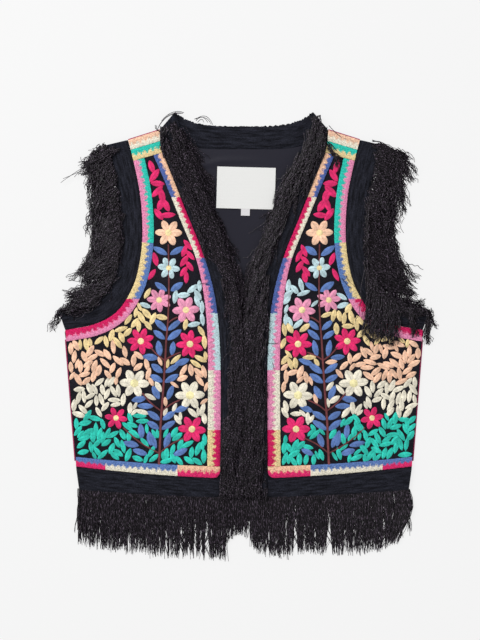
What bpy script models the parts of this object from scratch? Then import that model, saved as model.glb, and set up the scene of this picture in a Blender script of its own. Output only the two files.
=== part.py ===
"""Fringe vest, laid flat on its back with the embroidered fronts on top.

X runs across the garment, Y from hem to neck and Z up off the surface that it lies on.
Left and right are the viewer's. The right half is drawn, and the left half is its mirror.
"""

import math

import bmesh
import bpy
from mathutils import Vector

MM = 0.001

# Cloth and trim thicknesses, in millimetres.
GAP = 0.3
CLOTH = 2.0
LINING = 1.0
TRIM = 1.4
BAND = 3.4
NECK_BAND = 3.0
STRIP = 1.6
LABEL = 0.8

# The front layer rests on the back at the side seams and rides over lining and neck band.
FRONT_LIFT = 2.2
LIFT_FULL_TO = 80.0
LIFT_NONE_FROM = 175.0

# Outline of half a front, in millimetres. Every row is a point of the seam and its partner.
# seam_x, seam_y, opening_x, opening_y, trim_width: the front edge from shoulder fold to hem.
FRONT_EDGE = (
    (105.0, 255.0, 86.0, 277.5, 12.0),
    (102.5, 230.0, 73.0, 238.0, 12.0),
    (92.0, 203.0, 62.0, 210.0, 11.0),
    (70.5, 149.0, 41.0, 158.0, 10.5),
    (49.0, 95.0, 20.5, 104.0, 10.5),
    (35.5, 42.5, 6.5, 50.0, 13.5),
    (30.0, -14.0, 0.8, -12.0, 15.0),
    (29.0, -80.0, 0.8, -80.0, 15.8),
    (29.5, -150.0, 0.8, -150.0, 16.0),
    (30.0, -203.7, 0.8, -203.7, 16.0),
)
# seam_x, seam_y, edge_x, edge_y: the armhole from shoulder fold to side seam, and the edge
# of its knitted band.
ARMHOLE = (
    (145.0, 242.5, 173.0, 236.0),
    (138.8, 218.8, 166.5, 214.0),
    (130.0, 175.0, 158.5, 171.0),
    (127.0, 130.0, 156.0, 128.0),
    (130.0, 92.5, 158.0, 99.0),
    (139.0, 59.0, 166.0, 68.0),
    (158.0, 29.0, 181.0, 49.5),
    (186.0, 12.5, 204.0, 36.5),
    (223.5, 5.0, 232.0, 30.0),
)
# seam_x, seam_y, edge_x, edge_y: half the back neck, from the middle to the shoulder.
BACK_NECK = (
    (0.0, 231.0, 0.0, 260.0),
    (35.0, 231.0, 33.0, 260.5),
    (62.0, 233.0, 57.0, 263.5),
    (86.0, 240.5, 74.0, 269.5),
    (105.0, 255.0, 86.0, 277.5),
)
# x, edge_y, tip_y: lower edge of the front hem band and the ends of its fringe.
FRONT_HEM = (
    (8.0, -204.5, -262.0),
    (30.0, -204.0, -275.5),
    (60.0, -203.5, -277.5),
    (120.0, -201.0, -271.5),
    (170.0, -198.0, -268.0),
    (206.0, -195.0, -261.0),
)
SHOULDER_SEAM_Y = {"front": 241.0, "armhole": 230.0}
SIDE_SEAM_HEM = (210.0, -165.6)
HEM_SEAM_FRONT_Y = -180.0
HEM_SEAM_SAG = 2.0
HEM_TRIM_WIDTH = {"front": 14.6, "side": 12.0}
TRIM_CORNER = 8.0
ARMHOLE_TRIM_WIDTH = 14.2
BACK_HEM_EDGE_Y = -194.0
BACK_HEM_TIP_Y = {"middle": -250.0, "side": -262.0}
SIDE_EDGING_WIDTH = 1.4
SIDE_EDGING_REACH = (0.07, 0.96)

LINING_HALF_WIDTH = 78.0
LINING_FOOT_Y = 60.0
LINING_TAPER = 0.45

LABEL_SIZE = (73.0, 52.0)
LABEL_CENTRE = (2.5, 182.5)
LABEL_TURN = math.radians(-1.5)
TAB_SIZE = (11.0, 9.0)

# Stations along the seams. Pieces that meet share them, so that their edges stay parallel.
FRONT_STATIONS = 30
ARMHOLE_STATIONS = 20
BACK_SIDE_STATIONS = 3
PANEL_COLUMNS = 5
NECK_STEPS = 2

# Fringe. width and depth are a strand's section at its root, in millimetres.
FRONT_FRINGE = {"strands": 36, "width": 1.9, "reach": 66.0, "strip": (9.0 / 30, 13.0 / 30)}
ARM_FRINGE = {"strands": 29, "width": 2.8, "strip": (0.86, 0.98)}
FRONT_HEM_FRINGE = {"strands": 26, "width": 5.0, "strip": 3.0}
BACK_HEM_FRINGE = {"strands": 40, "width": 6.0, "strip": 3.0}
FRINGE_FOOT_Y = -186.0
FRINGE_TO_CENTRE = 2.4
FRINGE_RISE = 0.4
BACK_FRINGE_UNDER = 0.4
# share_of_edge, degrees_from_straight_down, length: how the armhole fringe is combed.
ARM_COMB = (
    (0.00, 52.0, 62.0),
    (0.10, 41.0, 66.0),
    (0.30, 31.0, 68.0),
    (0.62, 31.0, 66.0),
    (0.74, 34.0, 60.0),
    (0.86, 32.0, 45.0),
    (0.97, 27.0, 29.0),
)
ARM_COMB_LEAST_ANGLE = 14.0
# share_of_edge, degrees_off_the_edge: how the front fringe is combed towards the opening.
FRONT_COMB = ((0.0, 19.0), (0.5, 16.0), (0.7, 13.0), (1.0, 12.5))

FINISHES = {
    "ground_wool": ("191920", 0.92),
    "lining_satin": ("2e2d38", 0.45),
    "knit_band": ("22232b", 0.95),
    "fringe_yarn": ("292429", 0.70),
    "pink_yarn": ("e584b4", 0.88),
    "blue_yarn": ("6f88cc", 0.88),
    "peach_yarn": ("eed2bb", 0.88),
    "green_yarn": ("25c0a5", 0.88),
    "magenta_yarn": ("b03a66", 0.85),
    "label_cloth": ("eaeae9", 0.80),
}
SIDES = (("left", -1.0), ("right", 1.0))


def clear_scene():
    for thing in list(bpy.data.objects):
        bpy.data.objects.remove(thing, do_unlink=True)


def finish(name):
    """A Principled material from the finish table, made once."""
    if name in bpy.data.materials:
        return bpy.data.materials[name]
    colour, roughness = FINISHES[name]
    shown = [int(colour[k : k + 2], 16) / 255 for k in (0, 2, 4)]
    linear = [c / 12.92 if c <= 0.04045 else ((c + 0.055) / 1.055) ** 2.4 for c in shown]
    material = bpy.data.materials.new(name)
    material.use_nodes = True
    shader = material.node_tree.nodes["Principled BSDF"]
    shader.inputs["Base Color"].default_value = (*linear, 1.0)
    shader.inputs["Roughness"].default_value = roughness
    shader.inputs["Metallic"].default_value = 0.0
    return material


def soft_step(value, low, high):
    share = min(max((value - low) / (high - low), 0.0), 1.0)
    return share * share * (3.0 - 2.0 * share)


def mix(start, end, share):
    return start + (end - start) * share


def read_table(table, at):
    """The other columns of a table whose first column is the place, mixed linearly."""
    for low, high in zip(table, table[1:]):
        if at <= high[0] or high is table[-1]:
            share = min(max((at - low[0]) / (high[0] - low[0]), 0.0), 1.0)
            return [mix(a, b, share) for a, b in zip(low[1:], high[1:])]


def back_under(x, y):
    return 0.0


def lining_under(x, y):
    return CLOTH + GAP


def label_under(x, y):
    return CLOTH + GAP + LINING + GAP


def front_under(x, y):
    return CLOTH + GAP + FRONT_LIFT * (1.0 - soft_step(abs(x), LIFT_FULL_TO, LIFT_NONE_FROM))


def trim_under(x, y):
    return front_under(x, y) + CLOTH + GAP


def fringe_under(x, y):
    return front_under(x, y) + BAND + GAP


def smooth_rows(rows, steps=12):
    """A Catmull-Rom curve through the rows, which carries every column along."""
    points = [Vector(row) for row in rows]
    ends = [2 * points[0] - points[1], *points, 2 * points[-1] - points[-2]]
    path = []
    for before, start, end, after in zip(ends, ends[1:], ends[2:], ends[3:]):
        for step in range(steps):
            t = step / steps
            curve = 2 * before - 5 * start + 4 * end - after
            twist = 3 * start - before - 3 * end + after
            path.append(start + 0.5 * t * ((end - before) + t * (curve + t * twist)))
    return path + [points[-1]]


def below(path, height):
    """The stretch of a path from where its seam passes the height."""
    for index, (start, end) in enumerate(zip(path, path[1:])):
        if start[1] >= height >= end[1]:
            share = (start[1] - height) / (start[1] - end[1])
            return [mix(start, end, share)] + path[index + 1 :]
    return path


def lengths(path):
    along = [0.0]
    for start, end in zip(path, path[1:]):
        along.append(along[-1] + math.hypot(end[0] - start[0], end[1] - start[1]))
    return along


def at_length(path, along, wanted):
    for index in range(len(path) - 1):
        if wanted <= along[index + 1] or index == len(path) - 2:
            span = along[index + 1] - along[index]
            return mix(path[index], path[index + 1], (wanted - along[index]) / span)


def stations(path, count):
    """The path at count + 1 even steps along its seam."""
    along = lengths(path)
    return [at_length(path, along, along[-1] * k / count) for k in range(count + 1)]


def seam(row):
    return Vector((row[0], row[1]))


def partner(row):
    return Vector((row[2], row[3]))


def towards(start, end, distance):
    """The point that lies a distance from start on the way to end."""
    return start + (end - start).normalized() * distance


def offset_line(points, distance):
    """The points moved sideways, to the right of their way."""
    moved = []
    for index, point in enumerate(points):
        way = (points[min(index + 1, len(points) - 1)] - points[max(index - 1, 0)]).normalized()
        moved.append(point + Vector((way.y, -way.x)) * distance)
    return moved


class Outline:
    """The seams of the right half, at the stations that neighbouring pieces share."""

    def __init__(self):
        front = smooth_rows(FRONT_EDGE)
        armhole = smooth_rows(ARMHOLE)
        to_hem = below(front, SHOULDER_SEAM_Y["front"])
        hem = below(to_hem, HEM_SEAM_FRONT_Y)
        to_hem = to_hem[: len(to_hem) - len(hem) + 1] + [hem[0]]
        self.front_fold = front[0]
        self.front = stations(to_hem, FRONT_STATIONS)
        self.front_foot = front[-1]
        self.front_path = front
        self.arm_fold = armhole[0]
        self.armhole = stations(below(armhole, SHOULDER_SEAM_Y["armhole"]), ARMHOLE_STATIONS)
        self.armhole_path = armhole
        self.side_top = seam(self.armhole[-1])
        self.side_foot = Vector(SIDE_SEAM_HEM)

    def side(self, count):
        """Points down the side seam below the armhole."""
        return [mix(self.side_top, self.side_foot, k / count) for k in range(1, count + 1)]

    def hem_seam(self, share, up=0.0):
        """The seam between front panel and hem band, from the front edge to the side."""
        point = mix(seam(self.front[-1]), self.side_foot, share)
        return point + Vector((0.0, up - HEM_SEAM_SAG * 4.0 * share * (1.0 - share)))


def solid(name, mesh, material, mirror=1.0):
    """Closes a bmesh into an object, mirrored to the left where asked."""
    for vert in mesh.verts:
        vert.co = Vector((vert.co.x * mirror, vert.co.y, vert.co.z)) * MM
    bmesh.ops.recalc_face_normals(mesh, faces=mesh.faces)
    if mesh.calc_volume(signed=True) < 0:
        bmesh.ops.reverse_faces(mesh, faces=mesh.faces)
    data = bpy.data.meshes.new(name)
    mesh.to_mesh(data)
    mesh.free()
    data.materials.append(finish(material))
    thing = bpy.data.objects.new(name, data)
    bpy.context.scene.collection.objects.link(thing)
    return thing


def slab_mesh(rows, under, thickness):
    """A cloth wall over a grid of points, from its underside up."""
    across, along = len(rows[0]) - 1, len(rows) - 1
    mesh = bmesh.new()
    bmesh.ops.create_grid(mesh, x_segments=across, y_segments=along, size=1.0)
    for vert in mesh.verts:
        column = round((vert.co.x + 1.0) / 2.0 * across)
        row = round((vert.co.y + 1.0) / 2.0 * along)
        x, y = rows[row][column]
        vert.co = Vector((x, y, under(x, y)))
    top = bmesh.ops.extrude_face_region(mesh, geom=mesh.faces[:], use_keep_orig=True)
    raised = [part for part in top["geom"] if isinstance(part, bmesh.types.BMVert)]
    bmesh.ops.translate(mesh, verts=raised, vec=(0.0, 0.0, thickness))
    return mesh


def slab(name, rows, under, thickness, material, mirror=1.0):
    return solid(name, slab_mesh(rows, under, thickness), material, mirror)


def between(start, end, columns):
    return [mix(start, end, k / columns) for k in range(columns + 1)]


def back_neck_rows():
    """The back neck at its shared stations, from left to right, as seam and edge."""
    half = smooth_rows(BACK_NECK, NECK_STEPS)
    left = [Vector((-row[0], row[1], -row[2], row[3])) for row in reversed(half[1:])]
    return left + half


def make_back(outline):
    neck = back_neck_rows()
    fold = seam(outline.arm_fold)
    columns = [-fold] + [seam(row) for row in neck] + [fold]
    shares = [point.x / fold.x for point in columns]
    rise = [0.0] + [row[1] - fold.y for row in neck] + [0.0]
    edge = [fold] + [seam(row) for row in outline.armhole] + outline.side(BACK_SIDE_STATIONS)
    rows = []
    for index, corner in enumerate(edge):
        relax = 1.0 - soft_step(index, 0, ARMHOLE_STATIONS // 2)
        inset = corner.x - GAP / 2
        rows.append([Vector((share * inset, corner.y + relax * up)) for share, up in zip(shares, rise)])
    slab("back_panel", rows, back_under, CLOTH, "ground_wool")

    lower = [seam(row) + Vector((0.0, GAP)) for row in neck]
    upper = [partner(row) for row in neck]
    middle = [mix(a, b, 0.5) for a, b in zip(lower, upper)]
    slab("back_neck_band", [lower, middle, upper], back_under, NECK_BAND, "knit_band")

    top = [seam(row) for row in neck if abs(row[0]) < LINING_HALF_WIDTH]
    lining = []
    for step in range(6):
        share = step / 5
        taper = 1.0 - LINING_TAPER * share
        lining.append([Vector((p.x * taper, mix(p.y - 1.0, LINING_FOOT_Y, share))) for p in top])
    slab("back_lining", lining, lining_under, LINING, "lining_satin")

    half_width = SIDE_SEAM_HEM[0] - GAP
    hem = []
    for y in (SIDE_SEAM_HEM[1] - GAP, BACK_HEM_EDGE_Y):
        shrink = 1.0 if not hem else (FRONT_HEM[-1][0] / half_width)
        hem.append([Vector((half_width * shrink * k / 6, y)) for k in range(-6, 7)])
    slab("back_hem_band", hem, back_under, CLOTH, "knit_band")


def make_label():
    turn = Vector((math.cos(LABEL_TURN), math.sin(LABEL_TURN)))
    up = Vector((-turn.y, turn.x))
    centre = Vector(LABEL_CENTRE)

    def patch(name, size, middle):
        rows = []
        for v in (-0.5, 0.0, 0.5):
            rows.append([middle + turn * size[0] * u + up * size[1] * v for u in (-0.5, 0.0, 0.5)])
        slab(name, rows, label_under, LABEL, "label_cloth")

    patch("neck_label", LABEL_SIZE, centre)
    drop = LABEL_SIZE[1] / 2 + GAP + TAB_SIZE[1] / 2
    patch("size_tab", TAB_SIZE, centre - up * drop)


def make_front(outline, side, mirror):
    rail_in = [seam(row) for row in outline.front]
    rail_out = [seam(row) for row in outline.armhole]
    rail_out += outline.side(FRONT_STATIONS - ARMHOLE_STATIONS)
    rows = []
    for index, (inner, outer) in enumerate(zip(rail_in, rail_out)):
        row = between(towards(inner, outer, GAP / 2), towards(outer, inner, GAP / 2), PANEL_COLUMNS)
        sag = HEM_SEAM_SAG * soft_step(index, FRONT_STATIONS // 2, FRONT_STATIONS)
        for column, point in enumerate(row):
            share = column / PANEL_COLUMNS
            point.y -= sag * 4.0 * share * (1.0 - share)
        rows.append(row)
    slab(f"front_panel_{side}", rows, front_under, CLOTH, "ground_wool", mirror)

    fold_in, fold_out = seam(outline.front_fold), seam(outline.arm_fold)
    fold = between(towards(fold_in, fold_out, GAP), towards(fold_out, fold_in, GAP), 3)
    lower = [point + Vector((0.0, GAP)) for point in between(rows[0][0], rows[0][-1], 3)]
    slab(f"back_shoulder_turn_{side}", [fold, lower], front_under, CLOTH, "ground_wool", mirror)
    slab(f"back_shoulder_trim_{side}", [fold, lower], trim_under, TRIM, "peach_yarn", mirror)

    seam_line = between(rows[0][0], rows[0][-1], 3)
    lower = between(rows[1][0], rows[1][-1], 3)
    slab(f"front_shoulder_trim_{side}", [seam_line, lower], trim_under, TRIM, "green_yarn", mirror)
    return rows


def make_trims(outline, rows, side, mirror):
    step = Vector((0.0, -GAP))
    arm = [row[-1] for row in rows[1 : ARMHOLE_STATIONS + 1]]
    inner = offset_line(arm, ARMHOLE_TRIM_WIDTH)
    inner[0] = towards(arm[0], rows[1][0], ARMHOLE_TRIM_WIDTH)
    inner[-1] = towards(arm[-1], outline.side_foot, ARMHOLE_TRIM_WIDTH)
    arm[0], inner[0] = arm[0] + step, inner[0] + step
    pairs = [[a, b] for a, b in zip(arm, inner)]
    slab(f"armhole_trim_{side}", pairs, trim_under, TRIM, "pink_yarn", mirror)

    edge = [row[0] for row in rows[1:FRONT_STATIONS]]
    widths = [row[4] for row in outline.front[1:FRONT_STATIONS]]
    ways = offset_line(edge, -1.0)
    inner = [point + (way - point) * width for point, way, width in zip(edge, ways, widths)]
    inner[0] = towards(edge[0], rows[1][-1], widths[0])
    edge[0], inner[0] = edge[0] + step, inner[0] + step
    top_line = outline.hem_seam(0.1, mix(HEM_TRIM_WIDTH["front"], HEM_TRIM_WIDTH["side"], 0.1))
    foot_y = outline.hem_seam(0.0, HEM_TRIM_WIDTH["front"]).y + GAP
    slope = (top_line.y - foot_y + GAP) / (top_line.x - edge[-1].x)
    edge[-1] = Vector((edge[-1].x, foot_y))
    inner[-1] = Vector((edge[-1].x + widths[-1], foot_y + max(slope, 0.0) * widths[-1] + GAP))
    pairs = [[a, b] for a, b in zip(edge, inner)]
    slab(f"front_trim_{side}", pairs, trim_under, TRIM, "blue_yarn", mirror)

    shares = [0.0, 0.006, 0.02, TRIM_CORNER / 180.0, 0.1, 0.25, 0.4, 0.6, 0.8, 1.0]
    lower, upper = [], []
    for share in shares:
        width = mix(HEM_TRIM_WIDTH["front"], HEM_TRIM_WIDTH["side"], share)
        low, high = outline.hem_seam(share, GAP / 2), outline.hem_seam(share, width)
        from_end = min(low.x - outline.hem_seam(0.0).x, TRIM_CORNER)
        low.y += TRIM_CORNER - math.sqrt(TRIM_CORNER**2 - (TRIM_CORNER - from_end) ** 2)
        lower.append(low)
        upper.append(high)
    slab(f"hem_trim_{side}", [lower, upper], trim_under, TRIM, "pink_yarn", mirror)


def make_bands(outline, side, mirror):
    rows = [outline.front_fold, *outline.front, outline.front_foot]
    band = [between(towards(seam(row), partner(row), GAP / 2), partner(row), 2) for row in rows]
    slab(f"front_band_{side}", band, front_under, BAND, "knit_band", mirror)

    rows = [outline.arm_fold, *outline.armhole]
    band = [between(towards(seam(row), partner(row), GAP / 2), partner(row), 2) for row in rows]
    slab(f"armhole_band_{side}", band, front_under, BAND, "knit_band", mirror)
    slab(f"back_armhole_band_{side}", band, back_under, CLOTH, "knit_band", mirror)

    columns = PANEL_COLUMNS
    upper, lower = [], []
    for column in range(columns + 1):
        share = column / columns
        point = outline.hem_seam(share, -GAP)
        upper.append(Vector((mix(point.x + GAP, point.x, share), point.y)))
        x = mix(upper[0].x, FRONT_HEM[-1][0], share)
        lower.append(Vector((x, read_table(FRONT_HEM, x)[0])))
    slab(f"hem_band_{side}", [lower, upper], front_under, BAND, "knit_band", mirror)

    line = [mix(outline.side_top, outline.side_foot, share) for share in SIDE_EDGING_REACH]
    edging = [[point + Vector((d, 0.0)) for d in (GAP, GAP + SIDE_EDGING_WIDTH)] for point in line]
    slab(f"back_side_edging_{side}", edging, back_under, CLOTH + GAP, "magenta_yarn", mirror)


def grow_strand(mesh, root, direction, length, width, depth, under, steps=3):
    """Draws one root face out into a tapered four-sided strand, over the cloth below it."""
    start = root.calc_center_median()
    across = Vector((-direction.y, direction.x, 0.0))
    ahead = Vector((direction.x, direction.y, 0.0))
    face = root
    for step in range(1, steps + 1):
        share = step / steps
        drawn = bmesh.ops.extrude_discrete_faces(mesh, faces=[face])
        face = drawn["faces"][0]
        middle = start + ahead * length * share
        middle.z = under(middle.x, middle.y) + depth / 2
        centre = face.calc_center_median()
        half = width * mix(0.5, 0.28, share)
        tall = depth * mix(0.5, 0.3, share)
        for vert in face.verts:
            beside = 1.0 if (vert.co - centre).dot(across) > 0 else -1.0
            above = 1.0 if vert.co.z > centre.z else -1.0
            vert.co = middle + across * half * beside + Vector((0.0, 0.0, tall * above))


def face_near(mesh, point):
    return min(mesh.faces, key=lambda face: (face.calc_center_median() - point).length_squared)


def make_fringe(name, strands, under, strand_under, material, mirror=1.0):
    """A backing strip with strands. Each strand is its four strip corners and its comb."""
    rows = []
    for strand in strands:
        rows += [strand["from"], strand["to"]]
    mesh = slab_mesh(rows, under, STRIP)
    roots = []
    for strand in strands:
        column = strand["column"]
        middle = mix(strand["from"][column], strand["to"][column], 0.5)
        height = (under(*strand["from"][column]) + under(*strand["to"][column]) + STRIP) / 2
        roots.append(face_near(mesh, Vector((middle.x, middle.y, height))))
    for strand, root in zip(strands, roots):
        if strand["length"] > 0:
            width, length = strand["width"], strand["length"]
            depth = STRIP - 2 * FRINGE_RISE
            grow_strand(mesh, root, strand["way"], length, width, depth, strand_under)
    solid(name, mesh, material, mirror)


def raised_fringe_under(x, y):
    return fringe_under(x, y) + FRINGE_RISE


def strip_cells(path, count, share_in, share_out, fill):
    """Cells of a strip along a band, from its seam side to its edge side."""
    along = lengths(path)
    pitch = along[-1] / count
    cells = []
    for index in range(count):
        ends = []
        for part in (0.5 - fill / 2, 0.5 + fill / 2):
            row = at_length(path, along, pitch * (index + part))
            ends.append([mix(seam(row), partner(row), share_in), mix(seam(row), partner(row), share_out)])
        middle = at_length(path, along, pitch * (index + 0.5))
        way = (ends[1][1] - ends[0][1]).normalized()
        cells.append({"from": ends[0], "to": ends[1], "row": middle, "along": way})
        cells[-1]["share"] = (index + 0.5) / count
    return cells


def turned(way, degrees):
    angle = math.radians(degrees)
    cos, sin = math.cos(angle), math.sin(angle)
    return Vector((way.x * cos - way.y * sin, way.x * sin + way.y * cos))


def make_front_fringe(outline, side, mirror):
    path = [row for row in outline.front_path if row[1] >= FRINGE_FOOT_Y]
    strip = FRONT_FRINGE["strip"]
    cells = strip_cells(path, FRONT_FRINGE["strands"], strip[0], strip[1], 0.7)
    for cell in cells:
        (off_edge,) = read_table(FRONT_COMB, cell["share"])
        way = turned(cell["along"], -off_edge)
        root_x = (cell["from"][1].x + cell["to"][1].x) / 2
        inward = max(-way.x, 0.01)
        room = (root_x - FRINGE_TO_CENTRE) / inward
        cell.update(way=way, length=min(FRONT_FRINGE["reach"], room), column=1)
        cell["width"] = FRONT_FRINGE["width"]
    name = f"front_fringe_{side}"
    make_fringe(name, cells, fringe_under, raised_fringe_under, "fringe_yarn", mirror)


def make_armhole_fringe(outline, side, mirror):
    path = outline.armhole_path
    strip = ARM_FRINGE["strip"]
    cells = strip_cells(path, ARM_FRINGE["strands"], strip[0], strip[1], 0.62)
    for cell in cells:
        degrees, length = read_table(ARM_COMB, cell["share"])
        angle = math.radians(degrees)
        way = Vector((math.sin(angle), -math.cos(angle)))
        side_way = cell["along"].x * way.y - cell["along"].y * way.x
        least = math.sin(math.radians(ARM_COMB_LEAST_ANGLE))
        cell.update(way=way, column=1 if side_way > 0 else 0, width=ARM_FRINGE["width"])
        cell["length"] = length if abs(side_way) > least else 0.0
    name = f"armhole_fringe_{side}"
    make_fringe(name, cells, fringe_under, raised_fringe_under, "fringe_yarn", mirror)


def hem_cells(places, edge_y, tip_y, shape):
    """Cells of a strip that runs across below a hem band, with strands straight down."""
    pitch = (places[1] - places[0]) / shape["strands"]
    cells = []
    for index in range(shape["strands"]):
        middle = places[0] + pitch * (index + 0.5)
        ends = []
        for x in (middle - shape["width"] / 2, middle + shape["width"] / 2):
            top = edge_y(x) - GAP
            ends.append([Vector((x, top)), Vector((x, top - shape["strip"]))])
        length = ends[0][1].y - tip_y(middle)
        cell = {"from": ends[0], "to": ends[1], "way": Vector((0.0, -1.0)), "column": 1}
        cell.update(length=length, width=shape["width"])
        cells.append(cell)
    return cells


def make_hem_fringes(outline):
    places = (FRONT_HEM[0][0], FRONT_HEM[-1][0])
    front = hem_cells(
        places,
        lambda x: read_table(FRONT_HEM, x)[0],
        lambda x: read_table(FRONT_HEM, x)[1],
        FRONT_HEM_FRINGE,
    )
    for side, mirror in SIDES:
        name = f"hem_fringe_{side}"
        make_fringe(name, front, front_under, front_under, "fringe_yarn", mirror)

    half = FRONT_HEM[-1][0]

    def back_tip(x):
        return mix(BACK_HEM_TIP_Y["middle"], BACK_HEM_TIP_Y["side"], abs(x) / half)

    back = hem_cells((-half, half), lambda x: BACK_HEM_EDGE_Y, back_tip, BACK_HEM_FRINGE)

    def under(x, y):
        return BACK_FRINGE_UNDER

    make_fringe("back_hem_fringe", back, under, under, "fringe_yarn")


def main():
    clear_scene()
    outline = Outline()
    make_back(outline)
    make_label()
    for side, mirror in SIDES:
        rows = make_front(outline, side, mirror)
        make_trims(outline, rows, side, mirror)
        make_bands(outline, side, mirror)
        make_front_fringe(outline, side, mirror)
        make_armhole_fringe(outline, side, mirror)
    make_hem_fringes(outline)


main()
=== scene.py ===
"""Looks of the fringe vest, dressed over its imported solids.

The vest lies on its back, fronts up. Sizes are in millimetres until a mesh is finished. Left and
right are the viewer's. The right half is drawn, and the left is its mirror, combed by itself.
"""

import math
import random

import bmesh
import bpy
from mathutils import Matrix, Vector, noise


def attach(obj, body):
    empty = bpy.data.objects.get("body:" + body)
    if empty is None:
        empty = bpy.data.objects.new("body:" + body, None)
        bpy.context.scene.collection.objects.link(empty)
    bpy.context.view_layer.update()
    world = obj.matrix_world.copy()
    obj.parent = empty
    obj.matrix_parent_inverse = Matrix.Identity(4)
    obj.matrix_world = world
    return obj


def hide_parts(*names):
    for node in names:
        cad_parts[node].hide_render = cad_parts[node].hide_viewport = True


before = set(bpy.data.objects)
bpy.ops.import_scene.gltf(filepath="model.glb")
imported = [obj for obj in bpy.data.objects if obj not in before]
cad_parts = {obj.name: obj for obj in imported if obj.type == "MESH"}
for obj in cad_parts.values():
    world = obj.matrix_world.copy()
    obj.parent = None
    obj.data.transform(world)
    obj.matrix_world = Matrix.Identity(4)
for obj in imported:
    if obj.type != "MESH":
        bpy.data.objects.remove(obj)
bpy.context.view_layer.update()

MM = 0.001

# Cloth thicknesses and gaps, as in the solids.
GAP = 0.3
CLOTH = 2
LINING = 1
BAND = 3.4
NECK_BAND = 3
LABEL = 0.8
FRONT_LIFT = 2.2
LIFT_FULL_TO = 80
LIFT_NONE_FROM = 175

# seam_x, seam_y, opening_x, opening_y, trim_width: the front edge from shoulder fold to hem.
FRONT_EDGE = (
    (105, 255, 86, 277.5, 12), (102.5, 230, 73, 238, 12), (92, 203, 62, 210, 11),
    (70.5, 149, 41, 158, 10.5), (49, 95, 20.5, 104, 10.5), (35.5, 42.5, 6.5, 50, 13.5),
    (30, -14, 0.8, -12, 15), (29, -80, 0.8, -80, 15.8), (29.5, -150, 0.8, -150, 16),
    (30, -203.7, 0.8, -203.7, 16),
)
# seam_x, seam_y, edge_x, edge_y: the armhole and its knitted band, from shoulder to side.
ARMHOLE = (
    (145, 242.5, 173, 236), (138.8, 218.8, 166.5, 214), (130, 175, 158.5, 171),
    (127, 130, 156, 128), (130, 92.5, 158, 99), (139, 59, 166, 68), (158, 29, 181, 49.5),
    (186, 12.5, 204, 36.5), (223.5, 5, 232, 30),
)
# seam_x, seam_y, edge_x, edge_y: half the back neck, from the middle to the shoulder.
BACK_NECK = (
    (0, 231, 0, 260), (35, 231, 33, 260.5), (62, 233, 57, 263.5), (86, 240.5, 74, 269.5),
    (105, 255, 86, 277.5),
)
# x, edge_y: lower edge of the front hem band.
FRONT_HEM = ((8, -204.5), (30, -204), (60, -203.5), (120, -201), (170, -198), (206, -195))
SHOULDER_SEAM_Y = {"front": 241, "armhole": 230}
SIDE_SEAM_HEM = (210, -165.6)
HEM_SEAM_FRONT_Y = -180
HEM_SEAM_SAG = 2
HEM_TRIM_WIDTH = {"front": 14.6, "side": 12}
TRIM_CORNER = 8
ARMHOLE_TRIM_WIDTH = 14.2
BACK_HEM_EDGE_Y = -194
SIDE_EDGING_WIDTH = 1.4
SIDE_EDGING_REACH = (0.07, 0.96)
LINING_HALF_WIDTH = 78
NECK_TUCK = 0.2
LINING_FOOT_Y = 60
LINING_TAPER = 0.45
LABEL_SIZE = (73, 52)
LABEL_CENTRE = (2.5, 182.5)
LABEL_TURN = math.radians(-1.5)
TAB_SIZE = (11, 9)

# Stations of the seams, as in the solids, and the columns of the shown cloth.
FRONT_STATIONS = 30
ARMHOLE_STATIONS = 20
PANEL_COLUMNS = 24
BAND_COLUMNS = 16
TRIM_COLUMNS = 10

# Colours of the yarns and cloths, as sRGB hex.
COLOUR = {
    "magenta": "de2c6b", "deep_magenta": "d3205f", "pink": "e68db4", "petal_pink": "e596b4",
    "yellow": "e9d19a", "green": "30c5b2", "blue": "5d7bb6", "deep_blue": "5065a4", "sky": "bcd6dc",
    "peach": "f1c5a8", "apricot": "f2c2a2", "cream": "e9e2cf", "eye": "efdda6",
    "pale_eye": "ede3ad", "stem": "7a4043", "ground": "1c1b22", "lining": "1f1e2a",
    # The lightest fringe tone is a painted sheen, taken most by strands that lie high.
    "braid": "202129", "fringe_deep": "1a161b", "fringe_mid": "2b242c", "fringe_painted_sheen": "5d5260",
    "label": "eaeae8", "tab": "dedcde", "edging": "b03a66", "table": "696969",
}
# The yarns of the embroidery and their slots.
STITCH_SLOT = {
    "magenta": "magenta_yarn", "petal_pink": "pink_yarn", "yellow": "peach_yarn",
    "green": "green_yarn", "blue": "blue_yarn", "sky": "blue_yarn", "peach": "peach_yarn",
    "cream": "peach_yarn", "eye": "peach_yarn", "pale_eye": "peach_yarn", "stem": "magenta_yarn",
}

# down_to_y, outer, inner: the two rows of a trim, by stretch.
FRONT_TRIM = (
    (171, "apricot", "deep_blue"), (95, "deep_magenta", "cream"), (26, "deep_blue", "pink"),
    (-45, "sky", "pink"), (-120, "pink", "cream"), (-200, "deep_magenta", "yellow"),
)
ARMHOLE_TRIM = ((114, "pink", "green"), (44, "yellow", "blue"), (-20, "deep_magenta", "pink"))
BACK_SHOULDER_TRIM = ((0, "peach", "cream"),)
FRONT_SHOULDER_TRIM = ((0, "green", "yellow"),)
# out_to_x, outer, inner: the hem trim, whose outer row is the lower one.
HEM_TRIM = ((82.5, "magenta", "apricot"), (172.5, "cream", "blue"), (220, "magenta", "blue"))
TOOTH = 7.4
TOOTH_DEPTH = 0.12
# Heights where a fold of the front crosses its trim.
TRIM_CREASES = {"left": (131.5, 62), "right": (66, -13)}

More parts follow.
